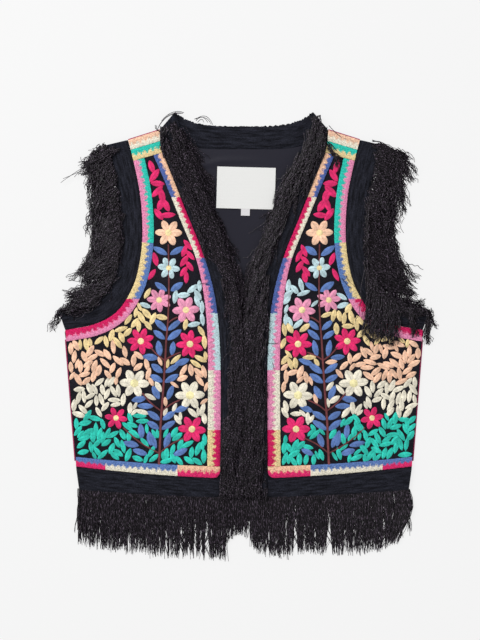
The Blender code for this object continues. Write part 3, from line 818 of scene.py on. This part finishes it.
def make_front_cloth(side, mirror):
    pairs = finer(panel, 4)

    def sag(share, along, x, y):
        deep = HEM_SEAM_SAG * soft_step(y, -165, 20)
        return Vector((0, -(HEM_SEAM_SAG - deep) * 4 * share * (1 - share)))

    def drape(share, along, x, y):
        lie = noise.noise((x / 46, y / 60, mirror * 3))
        return 0.7 * lie * soft_step(share, 0, 0.15) * (1 - soft_step(share, 0.85, 1))

    mesh = cloth_wall(pairs, PANEL_COLUMNS, front_under, CLOTH, drape, sag)
    replaced = f"front_panel_{side}"
    front = wall_piece(f"front_cloth_{side}", mesh, FELT, "ground_wool", replaced, mirror)
    panel_sheet(front, pairs, make_trims(side, mirror) + embroider(side, mirror))


def yarns_of(table, place):
    """The outer and the inner yarn of a trim at a place. The hem's table runs outwards."""
    for row in table:
        within = place.x < row[0] if table is HEM_TRIM else place.y > row[0]
        if within or row is table[-1]:
            return row[1:]


def make_trim(name, replaced, side, mirror, pairs, steps, table, slot, creases=()):
    """A trim of two padded rows that meet in teeth, pinched where a fold crosses it."""
    name = f"{name}_{side}"
    ragged = loose_edge(len(name) + mirror, 2.6, 0.45)

    def relief(share, along, x, y):
        tooth = 1 - abs(along / (TOOTH / 2) % 2 - 1)
        meet = 0.5 + TOOTH_DEPTH * (2 * tooth - 1)
        part = share / meet if share < meet else (share - meet) / (1 - meet)
        row = 0.9 * max(math.sin(math.pi * part), 0) ** 0.6
        pinch = sum(math.exp(-(((y - crease) / 1.3) ** 2)) for crease in creases)
        return row - 0.9 * pinch + 0.25 * noise.noise((x / 2.2, y / 2.2, 1))

    def bend(share, along, x, y):
        """The loops of the outermost stitches stand out a little, unevenly."""
        if abs(share - 0.5) < 0.49:
            return Vector((0, 0))
        return Vector((ragged(along + 50 * share), ragged(along + 90)))

    def under(x, y):
        return front_top(x, y) + 0.1

    mesh = cloth_wall(finer(pairs, steps), TRIM_COLUMNS, under, 1, relief, bend)
    outer, inner = (mesh.loops.layers.float_color.new(row) for row in ("outer_yarn", "inner_yarn"))
    outer, inner = (mesh.loops.layers.float_color[row] for row in ("outer_yarn", "inner_yarn"))
    for face in mesh.faces:
        colours = [linear(COLOUR[yarn]) for yarn in yarns_of(table, face.calc_center_median())]
        for loop in face.loops:
            loop[outer], loop[inner] = colours
    return wall_piece(name, mesh, TRIM_WOOL, slot, f"{replaced}_{side}", mirror)


def front_trim_pairs():
    outer = [row[0] for row in panel[1:FRONT_STATIONS]]
    widths = [row[4] for row in front_rows[1:FRONT_STATIONS]]
    ways = offset_line(outer, -1)
    inner = [point + (way - point) * width for point, way, width in zip(outer, ways, widths)]
    inner[0] = towards(outer[0], panel[1][1], widths[0]) + Vector((0, -GAP))
    outer[0] = outer[0] + Vector((0, -GAP))
    foot_y = hem_seam(0, HEM_TRIM_WIDTH["front"]).y + GAP
    outer[-1] = Vector((outer[-1].x, foot_y))
    inner[-1] = Vector((outer[-1].x + widths[-1], foot_y + GAP))
    return list(zip(outer, inner))


def armhole_trim_pairs():
    outer = [row[1] for row in panel[1 : ARMHOLE_STATIONS + 1]]
    inner = offset_line(outer, ARMHOLE_TRIM_WIDTH)
    inner[0] = towards(outer[0], panel[1][0], ARMHOLE_TRIM_WIDTH) + Vector((0, -GAP))
    inner[-1] = towards(outer[-1], side_foot, ARMHOLE_TRIM_WIDTH)
    outer[0] = outer[0] + Vector((0, -GAP))
    return list(zip(outer, inner))


def hem_trim_pairs():
    pairs = []
    for share in [0, 0.006, 0.02, TRIM_CORNER / 180] + [k / 12 for k in range(1, 13)]:
        width = mix(HEM_TRIM_WIDTH["front"], HEM_TRIM_WIDTH["side"], share)
        low, high = hem_seam(share, GAP / 2), hem_seam(share, width)
        from_end = min(low.x - hem_seam(0).x, TRIM_CORNER)
        low.y += TRIM_CORNER - math.sqrt(TRIM_CORNER**2 - (TRIM_CORNER - from_end) ** 2)
        pairs.append((low, high))
    return pairs


def shoulder_pairs():
    """The strip turned over from the back, and the trim below it, from neck to armhole."""
    fold_in, fold_out = seam(front_path[0]), seam(arm_path[0])
    fold = (towards(fold_in, fold_out, GAP), towards(fold_out, fold_in, GAP))
    turned, below_it = [], []
    for share in (0, 0.25, 0.5, 0.75, 1):
        at_seam = mix(*panel[0], share)
        turned.append((mix(*fold, share), at_seam + Vector((0, GAP))))
        below_it.append((at_seam, mix(*panel[1], share)))
    return turned, below_it


def make_trims(side, mirror):
    """Sews the trims of one side, and returns those that lie on its front."""

    def trim(name, replaced, *cut):
        return make_trim(name, replaced, side, mirror, *cut)

    creases = TRIM_CREASES[side]
    cut = (front_trim_pairs(), 12, FRONT_TRIM, "blue_yarn", creases)
    front = trim("front_edge_trim", "front_trim", *cut)
    cut = (armhole_trim_pairs(), 12, ARMHOLE_TRIM, "pink_yarn", creases[:1])
    arm = trim("armhole_edge_trim", "armhole_trim", *cut)
    hem = trim("hem_edge_trim", "hem_trim", hem_trim_pairs(), 11, HEM_TRIM, "pink_yarn")
    turned, lower = shoulder_pairs()
    strip = cloth_wall(finer(turned, 4), 6, front_under, CLOTH)
    replaced = f"back_shoulder_turn_{side}"
    strip = wall_piece(f"shoulder_turn_{side}", strip, FELT, "ground_wool", replaced, mirror)
    cut = (turned, 9, BACK_SHOULDER_TRIM, "peach_yarn")
    back = trim("shoulder_trim_back", "back_shoulder_trim", *cut)
    fold = [mix(turned[0][0], turned[-1][0], k / 12) for k in range(13)]
    line = [(p.x * mirror, p.y + 0.2, front_top(p.x, p.y) + 0.5, 0.8, 0) for p in fold]
    data = tubes_mesh(f"shoulder_edging_{side}", [line], 6)
    edging = dress(f"shoulder_edging_{side}", data, [EDGING], "magenta_yarn")
    strip_sheet(strip, turned)
    cut = (lower, 9, FRONT_SHOULDER_TRIM, "green_yarn")
    return [front, arm, hem, trim("shoulder_trim_front", "front_shoulder_trim", *cut)]


def make_bands(side, mirror):
    front, arm = (
        [(towards(seam(row), partner(row), GAP / 2), partner(row)) for row in path]
        for path in (front_path, arm_path)
    )
    hem = []
    for k in range(81):
        top = hem_seam(k / 80, -GAP)
        top.x += GAP * (1 - k / 80)
        x = mix(hem_seam(0).x + GAP, FRONT_HEM[-1][0], k / 80)
        hem.append((top, Vector((x, *read_table(FRONT_HEM, x)))))
    for name, replaced, pairs, under, thickness, seed, rests_on in (
        ("front_braid", "front_band", finer(front, 2), front_under, BAND, 21, "back_cloth"),
        ("armhole_braid", "armhole_band", finer(arm, 2), front_under, BAND, 31, "back_cloth"),
        ("back_armhole_braid", "back_armhole_band", arm, on_floor, CLOTH, 41, "back_cloth"),
        ("hem_braid", "hem_band", hem, front_under, BAND, 51, "back_hem_braid"),
    ):
        names = (f"{name}_{side}", f"{replaced}_{side}")
        make_band(*names, pairs, under, thickness, seed + mirror, rests_on, mirror)

    line = [mix(side_top, side_foot, share) for share in SIDE_EDGING_REACH]
    pairs = [(p + Vector((GAP, 0)), p + Vector((GAP + SIDE_EDGING_WIDTH, 0))) for p in line]
    swell = loose_edge(61 + mirror, 3, 0.5)

    def relief(share, along, x, y):
        return 0.3 + swell(along)

    mesh = cloth_wall(finer(pairs, 60), 4, on_floor, CLOTH, relief)
    replaced = f"back_side_edging_{side}"
    wall_piece(f"side_edging_{side}", mesh, EDGING, "magenta_yarn", replaced, mirror)


def stem_x(y):
    return read_table(STEM_BY_HEIGHT, -y)[0]


class Embroidery:
    """The leaves and flowers of one front, grown sprig by sprig in one mesh for each yarn.

    Discs note what stitches already cover, in square cells, so that new leaves keep clear.
    """

    CELL = 9
    BORDER_STEP = 2.5

    def __init__(self, seed):
        self.rng = random.Random(seed)
        self.meshes = {}
        self.covered = {}
        trims = (front_trim_pairs(), hem_trim_pairs()[3:], [panel[-1]], armhole_trim_pairs()[::-1])
        self.border = [pair[1] for pairs in trims for pair in pairs]
        self.sides = list(zip(self.border, self.border[1:] + self.border[:1]))
        for start, end in self.sides:
            span = max((end - start).length, self.BORDER_STEP)
            for k in range(int(span / self.BORDER_STEP)):
                self.cover(mix(start, end, k * self.BORDER_STEP / span), 0.4)

    def cell(self, point):
        return int(point.x // self.CELL), int(point.y // self.CELL)

    def cover(self, point, radius):
        self.covered.setdefault(self.cell(point), []).append((point.copy(), radius))

    def inside(self, point):
        hits = 0
        for a, b in self.sides:
            if (a.y > point.y) != (b.y > point.y):
                hits += point.x < a.x + (point.y - a.y) / (b.y - a.y) * (b.x - a.x)
        return hits % 2 == 1

    def clear(self, point, radius):
        column, row = self.cell(point)
        for near in [(column + i, row + j) for i in (-1, 0, 1) for j in (-1, 0, 1)]:
            for other, wide in self.covered.get(near, ()):
                if (other - point).length < radius + wide:
                    return False
        return True

    def dome(self, yarn, segments, rings, shape):
        """A low dome on the cloth, where shape turns a ball's point to x, y, rise and UV."""
        if yarn not in self.meshes:
            self.meshes[yarn] = bmesh.new()
            self.meshes[yarn].loops.layers.uv.new("UVMap")
        mesh = self.meshes[yarn]
        uv = mesh.loops.layers.uv.verify()
        ball = {"u_segments": segments, "v_segments": rings, "radius": 1}
        made = bmesh.ops.create_uvsphere(mesh, **ball)["verts"]
        flat = {}
        for vert in made:
            x, y, rise, flat[vert] = shape(*vert.co)
            vert.co = (x, y, front_top(x, y) + rise)
        for face in {face for vert in made for face in vert.link_faces}:
            for loop in face.loops:
                loop[uv].uv = flat[loop.vert]

    def satin_leaf(self, yarn, centre, degrees, length, width, height, blunt=0):
        """A padded leaf with a groove, or a petal where blunt is above 0."""
        way = heading(degrees)
        side = Vector((-way.y, way.x))

        def shape(beside, up, ahead):
            ring = max(1 - ahead * ahead, 0)
            lens = ring ** (0.25 - 0.17 * blunt) * (1 + 0.1 * blunt * ahead)
            place = centre + way * ahead * length / 2 + side * beside * lens * width / 2
            rise = up * (height if up > 0 else 0.3)
            if abs(beside) < 0.1 and up > 0:
                rise *= 0.8
            return *place, rise, (beside * lens * width / 2, ahead * length / 2)

        self.dome(yarn, 8, 7, shape)

    def raised_eye(self, yarn, centre, radius):
        def shape(x, y, up):
            x, y = centre.x + x * radius, centre.y + y * radius
            return x, y, (1.9 if up > 0 else 0.3) * up, (NO_GROOVE + x, y)

        self.dome(yarn, 12, 8, shape)

    def leaf(self, centre, degrees, yarn, tight=1, sure=False, large=1):
        """Sews a leaf where there is room, or at any rate where sure.

        Its belly and its two ends each cover a disc.
        """
        length = LEAF["length"] * large * self.rng.uniform(0.84, 1.08)
        width = LEAF["width"] * large * self.rng.uniform(0.86, 1.08)
        reach, wide = length * tight, width * tight
        spots = [(centre, wide * 0.47)]
        spots += [(centre + heading(degrees) * reach * part, wide * 0.33) for part in (-0.3, 0.3)]
        if sure or self.inside(centre) and all(self.clear(*spot) for spot in spots):
            for spot in spots:
                self.cover(*spot)
            yarn = yarn or self.zone(centre)
            self.satin_leaf(yarn, centre, degrees, length, width, LEAF["height"])

    def sprig(self, start, way, leaves, bend, yarn, tight, step=7.6):
        """Leaves set left and right in turn along a bending line, with one at its end."""
        point = start.copy()
        for k in range(leaves):
            lean = 0 if k == leaves - 1 else (1 if k % 2 else -1) * self.rng.uniform(26, 40)
            self.leaf(point + heading(way + lean) * LEAF["length"] * 0.36, way + lean, yarn, tight)
            point += heading(way) * step
            way += bend + self.rng.uniform(-6, 6)

    def flowers(self):
        for x, y, radius, petals, turn, yarn in FLOWERS:
            centre = Vector((x, y))
            self.cover(centre, radius * 0.55)
            width = min(radius * 0.56, 3.4 * radius / petals)
            for k in range(petals):
                angle = turn + 360 / petals * k + self.rng.uniform(-4, 4)
                middle = centre + heading(angle) * radius * 0.56
                self.cover(centre + heading(angle) * radius * 0.72, width * 0.5)
                self.satin_leaf(yarn, middle, angle, radius * 0.9, width, PETAL_HEIGHT, 0.6)
            eye, share = ("pale_eye", 0.31) if yarn == "cream" else ("eye", 0.26)
            self.raised_eye(eye, centre, radius * share)

    def set_leaves(self):
        for y, tilt, out in STEM_LEAVES:
            for sign in (-1, 1):
                centre = Vector((stem_x(y) + sign * out, y))
                angle = tilt if sign > 0 else 180 - tilt
                self.leaf(centre, angle + self.rng.uniform(-4, 4), "blue", 1, True, BLUE_LEAF)
        for x, y, angle in BRANCH_LEAVES:
            self.leaf(Vector((x, y)), angle, "blue", 1, True, BLUE_LEAF)
        for x, y, angle in TOP_LEAVES:
            self.leaf(Vector((x, y)), angle + self.rng.uniform(-5, 5), "magenta", 1, True, TOP_LEAF)

    def stems(self):
        """Covers the stems' places, and returns their centre lines with radii."""
        lines = [[(*p, mix(*STEM_RADIUS, k / 64)) for k, p in enumerate(smooth_rows(STEM, 8))]]
        for x0, y0, x1, y1 in BRANCHES:
            bow = Vector((y1 - y0, x0 - x1)) * 0.05
            ends = (Vector((x0, y0)), Vector((x1, y1)))
            line = [mix(*ends, k / 8) + bow * math.sin(math.pi * k / 8) for k in range(9)]
            lines.append([(*point, BRANCH_RADIUS) for point in line])
        for line in lines:
            for x, y, radius in line:
                self.cover(Vector((x, y)), radius)
        return lines

    def zone(self, point):
        zones = OUTER_ZONES if point.x > stem_x(point.y) else INNER_ZONES
        height = point.y + 5 * noise.noise((point.x / 14, point.y / 14, 2))
        return next((yarn for foot, yarn in zones if height > foot), zones[-1][1])

    def fill(self, sprigs, singles):
        """Tries sprigs at random places and then single leaves, the last half of them small."""
        across, heights = zip(*self.border)
        for k in range(sprigs + singles):
            x = self.rng.uniform(min(across), max(across))
            point = Vector((x, self.rng.uniform(min(heights), FILL_TRIED_TO_Y)))
            way = self.rng.choice((90, 90, 270)) + self.rng.uniform(-55, 55)
            bend = self.rng.uniform(-14, 14)
            leaves = self.rng.randint(3, 6)
            tight = mix(*FILL_TIGHT, soft_step(-point.y, 80, 110))
            if point.y > FILL_FROM_Y or not self.inside(point):
                continue
            if k < sprigs:
                self.sprig(point, way, leaves, bend, None, tight)
            else:
                large = 1 if k < sprigs + singles / 2 else 0.76
                self.leaf(point, way, None, tight - 0.04, large=large)


def embroider(side, mirror):
    """Sews one front's stems, flowers and leaves, and returns their pieces."""
    work = Embroidery(17 if side == "left" else 29)
    work.flowers()
    routes = []
    for line in work.stems():
        routes.append([(x * mirror, y, front_top(x, y) + 0.2, r, 0) for x, y, r in line])
    work.set_leaves()
    for x, y, way, leaves, bend, yarn in SPRIGS:
        work.sprig(Vector((x, y)), way, leaves, bend, yarn, SPRIG_TIGHT, step=6.6)
    work.fill(*FILL_TRIES)
    name = f"stem_stitches_{side}"
    pieces = [dress(name, tubes_mesh(name, routes, 8), [CREWEL["stem"]], STITCH_SLOT["stem"])]
    for yarn, mesh in work.meshes.items():
        outwards(mesh)
        name = f"{yarn}_stitches_{side}"
        pieces.append(piece(name, mesh, CREWEL[yarn], STITCH_SLOT[yarn], mirror=mirror))
    return pieces


def tubes_mesh(name, lines, profile_sides):
    """Runs a round or three-sided profile along lines of (x, y, z, radius, finish) in mm."""
    rim = bpy.data.curves.new(name + "_rim", "CURVE")
    ring = rim.splines.new("POLY")
    ring.points.add(profile_sides - 1)
    for k, point in enumerate(ring.points):
        turn = math.tau * k / profile_sides
        point.co = (math.cos(turn) * MM, math.sin(turn) * MM, 0, 1)
    ring.use_cyclic_u = True
    profile = put(name + "_rim", rim)
    path = bpy.data.curves.new(name + "_path", "CURVE")
    path.dimensions = "3D"
    path.bevel_mode = "OBJECT"
    path.bevel_object = profile
    path.use_fill_caps = True
    for line in lines:
        spline = path.splines.new("POLY")
        spline.points.add(len(line) - 1)
        for point, (x, y, z, radius, _) in zip(spline.points, line):
            point.co = (x * MM, y * MM, z * MM, 1)
            point.radius = radius
        spline.material_index = line[0][4]
    for material in FRINGE:
        path.materials.append(material)
    holder = put(name + "_path", path)
    bpy.context.view_layer.update()
    drawn = holder.evaluated_get(bpy.context.evaluated_depsgraph_get())
    data = bpy.data.meshes.new_from_object(drawn)
    data.name = name
    data.materials.clear()
    for helper in (holder, profile):
        bpy.data.objects.remove(helper, do_unlink=True)
    mesh = bmesh.new()
    mesh.from_mesh(data)
    bmesh.ops.remove_doubles(mesh, verts=mesh.verts, dist=1e-6)
    outwards(mesh)
    mesh.to_mesh(data)
    mesh.free()
    return data


def strand_line(rng, root, ways, length, lock, rest_on, lift, sideways=None):
    """One crinkled strand of a lock, as points over what it lies on.

    ways are the angles from straight down, towards +X, at its root and its tip, and
    sideways(x, y, t) moves a point's x.
    """
    start, end = rng.gauss(0, lock["root"]), rng.gauss(0, lock["tip"])
    reach = length * rng.uniform(*lock["cut"])
    stray = rng.gauss(0, lock["stray"] if rng.random() < 0.04 else 3)
    loft = lift * rng.random()
    # The third tone is a painted sheen: the higher a strand lies, the more often it takes it.
    tone = rng.choices((0, 1, 2), (lock["dark"], 0.9 - lock["dark"], 0.03 + 0.09 * loft / lift))[0]
    thick = rng.uniform(0.85, 1.15)
    last = lock["points"] - 1
    spine = root.copy()
    line = []
    for k in range(lock["points"]):
        t = k / last
        turn = mix(*ways, soft_step(t, 0, lock["settles"])) + (stray + lock["bow"]) * t
        way = Vector((math.sin(math.radians(turn)), -math.cos(math.radians(turn))))
        spine += way * reach / last * (k > 0)
        wave = lock["wave"] * math.sin(lock["phase"] + 9 * t) * t
        crinkle = rng.gauss(0, lock["crinkle"]) * min(3 * t, 1)
        place = spine + Vector((-way.y, way.x)) * (mix(start, end, t) + wave + crinkle)
        if sideways:
            place.x = sideways(*place, t)
        under = rest_on(*place)
        high = mix(rest_on(*root), under, soft_step(t, 0, 0.5))
        swell = math.sin(math.pi * min(t * 0.9 + 0.1, 1)) ** 0.7
        z = max(high, under) + 0.5 + loft * swell + 0.3 * abs(crinkle)
        line.append((*place, z, thick * mix(STRAND["root"], STRAND["tip"], t * t), tone))
    return line


def wisp(ends):
    """A single strand that arcs away from the rest."""
    line = []
    for k in range(CURLY["points"]):
        t = k / (CURLY["points"] - 1)
        corners = zip(ends[:2], ends[2:4], ends[4:])
        x, y = (mix(mix(a, b, t), mix(b, c, t), t) for a, b, c in corners)
        line.append((x, y, max(mix(10, 5, t), front_top(x, y) + 1.6), mix(0.5, 0.35, t), 0))
    return line


def new_lock(rng, size, form, bow=12, wave=1.8, cut=(0.8, 1.04), stray=22, settles=0.8, dark="else"):
    """How the strands of one lock lie beside each other."""
    return {
        **form,
        "root": size,
        "tip": size * rng.uniform(0.5, 1.6),
        "bow": rng.gauss(0, bow),
        "wave": wave * rng.uniform(0.3, 1.5),
        "phase": rng.random() * math.tau,
        "dark": rng.uniform(*DARK.get(dark, DARK["else"])),
        "cut": cut,
        "stray": stray,
        "settles": settles,
    }


def fringe_piece(name, lines, materials, replaced):
    dress(name, tubes_mesh(name, lines, 3), materials, "fringe_yarn", replaced, sharp=80)


def make_band_fringe(kind, replaced, path, side, mirror, seed, lift):
    """The fringe of a front or armhole band: combed locks, hanging ones, tufts and wisps."""
    rng = random.Random(seed)
    along = lengths([partner(row) for row in path])
    comb, (locks, strands) = FRINGE_COMB[kind, side], LOCKS[kind]
    dark = f"{kind}_{side}"
    lines = []

    def row_at(share):
        return at_length(path, along, along[-1] * share)

    def grow(root, ways, length, lock, count, high=lift, sideways=None):
        root = Vector((root.x * mirror, root.y))
        rest = ([mirror * way for way in ways], length, lock, top_of_vest, high, sideways)
        for _ in range(count):
            lines.append(strand_line(rng, root, *rest))

    for k in range(locks):
        share = (k + rng.random()) / locks
        root_angle, tip_angle, spread, length, low = read_table(comb, share)
        root = mix(seam(row_at(share)), partner(row_at(share)), rng.uniform(low, 1))
        off = rng.gauss(0, spread * 0.7)
        size = rng.choice((0.5, 0.8, 1, 1.7))
        lock = new_lock(rng, 2.2 * size, CURLY, bow=8, dark=dark)
        ways = (root_angle * rng.uniform(*FALL[kind]) + off, tip_angle + off * 0.8)
        sideways = off_the_trim if kind == "front" else None
        length *= rng.uniform(0.84, 1.08)
        grow(root, ways, length, lock, round(strands * size), sideways=sideways)
    for _ in range(round(locks * HANGING["locks"]) if kind == "arm" else 0):
        share = rng.random() * HANGING["down_to"]
        root_angle, tip_angle, spread, length, _ = read_table(comb, share)
        start, end = seam(row_at(share)), partner(row_at(share))
        reach = rng.uniform(HANGING["from"], length * HANGING["reach"])
        off = rng.gauss(0, spread)
        ways = (mix(tip_angle, root_angle, 0.4) + off, tip_angle - 8 + off)
        lock = new_lock(rng, 2.4, CURLY, wave=2.4, settles=0.5, dark=dark)
        length = length * HANGING["length"] * rng.uniform(0.8, 1.1)
        grow(end + (end - start).normalized() * reach, ways, length, lock, strands, lift + 2)
    for x0, y0, x1, y1, width, count in TUFTS[kind, side]:
        start, end = Vector((x0, y0)), Vector((x1, y1))
        lean = math.degrees(math.atan2(x1 - x0, y0 - y1))
        lock = new_lock(rng, width * 0.45, CURLY, 7, 2.2)
        for _ in range(count):
            part = rng.uniform(-0.1, 0.3)
            root = mix(start, end, part) + Vector((rng.gauss(0, width * 0.6), 0))
            ways = (lean + rng.gauss(8, 9), lean - 8)
            grow(root, ways, (1 - part) * (end - start).length, lock, 1, lift + 1.5)
    lines += [wisp(ends) for ends in WISPS[kind, side]]
    fringe_piece(f"{kind}_fringe_strands_{side}", lines, FRINGE, f"{replaced}_{side}")


def make_hem_fringe(side, mirror):
    rng = random.Random(71 if side == "left" else 83)
    locks, strands = LOCKS["hem"]
    lines = []

    def parted(x, y, t):
        for at, push in HEM_PARTINGS[side]:
            gap = x - mirror * at
            x += math.copysign(push * math.exp(-abs(gap) / (1.5 * push)) * t**1.5, gap)
        return x

    def rest_on(x, y):
        return mix(2, front_under(x, y), soft_step(y, -232, -203))

    for k in range(locks):
        x = mix(0.8, 206.5, (k + rng.uniform(0.2, 0.8)) / locks)
        top = read_table(FRONT_HEM, x)[0] + rng.uniform(-0.5, 2.5)
        length = (top - read_table(HEM_TIPS[side], x)[0]) * rng.uniform(0.93, 1.03)
        lean = rng.gauss(0, 1.6)
        ways = [mirror * (lean + bow * soft_step(x, 165, 208)) for bow in HEM_END_BOW[side]]
        lock = new_lock(rng, 1, STRAIGHT, bow=2, wave=0.5, cut=(0.74, 1.04), stray=7)
        strand = (Vector((x * mirror, top)), ways, length, lock, rest_on, 2.4, parted)
        lines += [strand_line(rng, *strand) for _ in range(strands)]
    fringe_piece(f"hem_fringe_strands_{side}", lines, HEM_FRINGE, f"hem_fringe_{side}")


def make_back_hem_fringe():
    rng = random.Random(97)
    locks, strands = LOCKS["back"]
    lines = []
    for k in range(locks):
        x = mix(-207, 207, (k + rng.random()) / locks)
        length = (BACK_HEM_EDGE_Y - read_table(HEM_TIPS["back"], x)[0]) * rng.uniform(0.9, 1)
        lean = rng.gauss(0, 2)
        lock = new_lock(rng, 1.9, STRAIGHT, bow=2, wave=0.5, stray=5)
        root = Vector((x, BACK_HEM_EDGE_Y))
        strand = (root, (lean, lean), length, lock, lambda x, y: 0.2, 1.1)
        lines += [strand_line(rng, *strand) for _ in range(strands)]
    fringe_piece("back_hem_fringe_strands", lines, HEM_FRINGE, "back_hem_fringe")


def make_fringes():
    front = [row for row in front_path if row[1] >= FRINGE_FOOT_Y]
    for side, mirror in SIDES:
        seed = 101 if side == "left" else 131
        make_band_fringe("front", "front_fringe", front, side, mirror, seed, 5)
        make_band_fringe("arm", "armhole_fringe", arm_path, side, mirror, seed + 9, 5.5)
        make_hem_fringe(side, mirror)
    make_back_hem_fringe()


def make_camera():
    camera = bpy.data.cameras.new("camera")
    camera.sensor_fit = "VERTICAL"
    camera.sensor_height = SENSOR
    camera.sensor_width = SENSOR
    camera.lens = LENS
    camera.clip_end = 20
    holder = put("camera", camera)
    distance = FRAME_HEIGHT * LENS / SENSOR + 5
    holder.location = (FRAME_CENTRE[0] * MM, FRAME_CENTRE[1] * MM, distance * MM)
    bpy.context.scene.camera = holder


def make_table():
    """A lit white table: most of its light is its own, so hardly a shadow shows on it."""
    mesh = bmesh.new()
    bmesh.ops.create_grid(mesh, x_segments=1, y_segments=1, size=4)
    data = bpy.data.meshes.new("table")
    mesh.to_mesh(data)
    mesh.free()
    material, tree = surface("white_table", "table", 0.9, 0)
    shader = tree.nodes["Principled BSDF"]
    shader.inputs["Emission Color"].default_value = (1, 1, 1, 1)
    shader.inputs["Emission Strength"].default_value = 0.785
    data.materials.append(material)
    put("table", data)


def make_light():
    world = bpy.data.worlds.new("studio")
    world.use_nodes = True
    sky = world.node_tree.nodes["Background"]
    sky.inputs["Color"].default_value = (1, 1, 1, 1)
    sky.inputs["Strength"].default_value = 0.6
    bpy.context.scene.world = world
    lamp = bpy.data.lights.new("soft_box", "AREA")
    lamp.shape = "SQUARE"
    lamp.size = 1.1
    lamp.energy = 20
    holder = put("soft_box", lamp)
    holder.location = (-0.9, 0.9, 1.5)
    holder.rotation_euler = (-holder.location).to_track_quat("-Z", "Y").to_euler()
    bpy.context.scene.view_settings.view_transform = "Standard"


make_camera()
make_light()
make_table()
make_back_cloth()
make_back_bands()
make_lining()
make_label()
for side, mirror in SIDES:
    make_front_cloth(side, mirror)
    make_bands(side, mirror)
make_fringes()
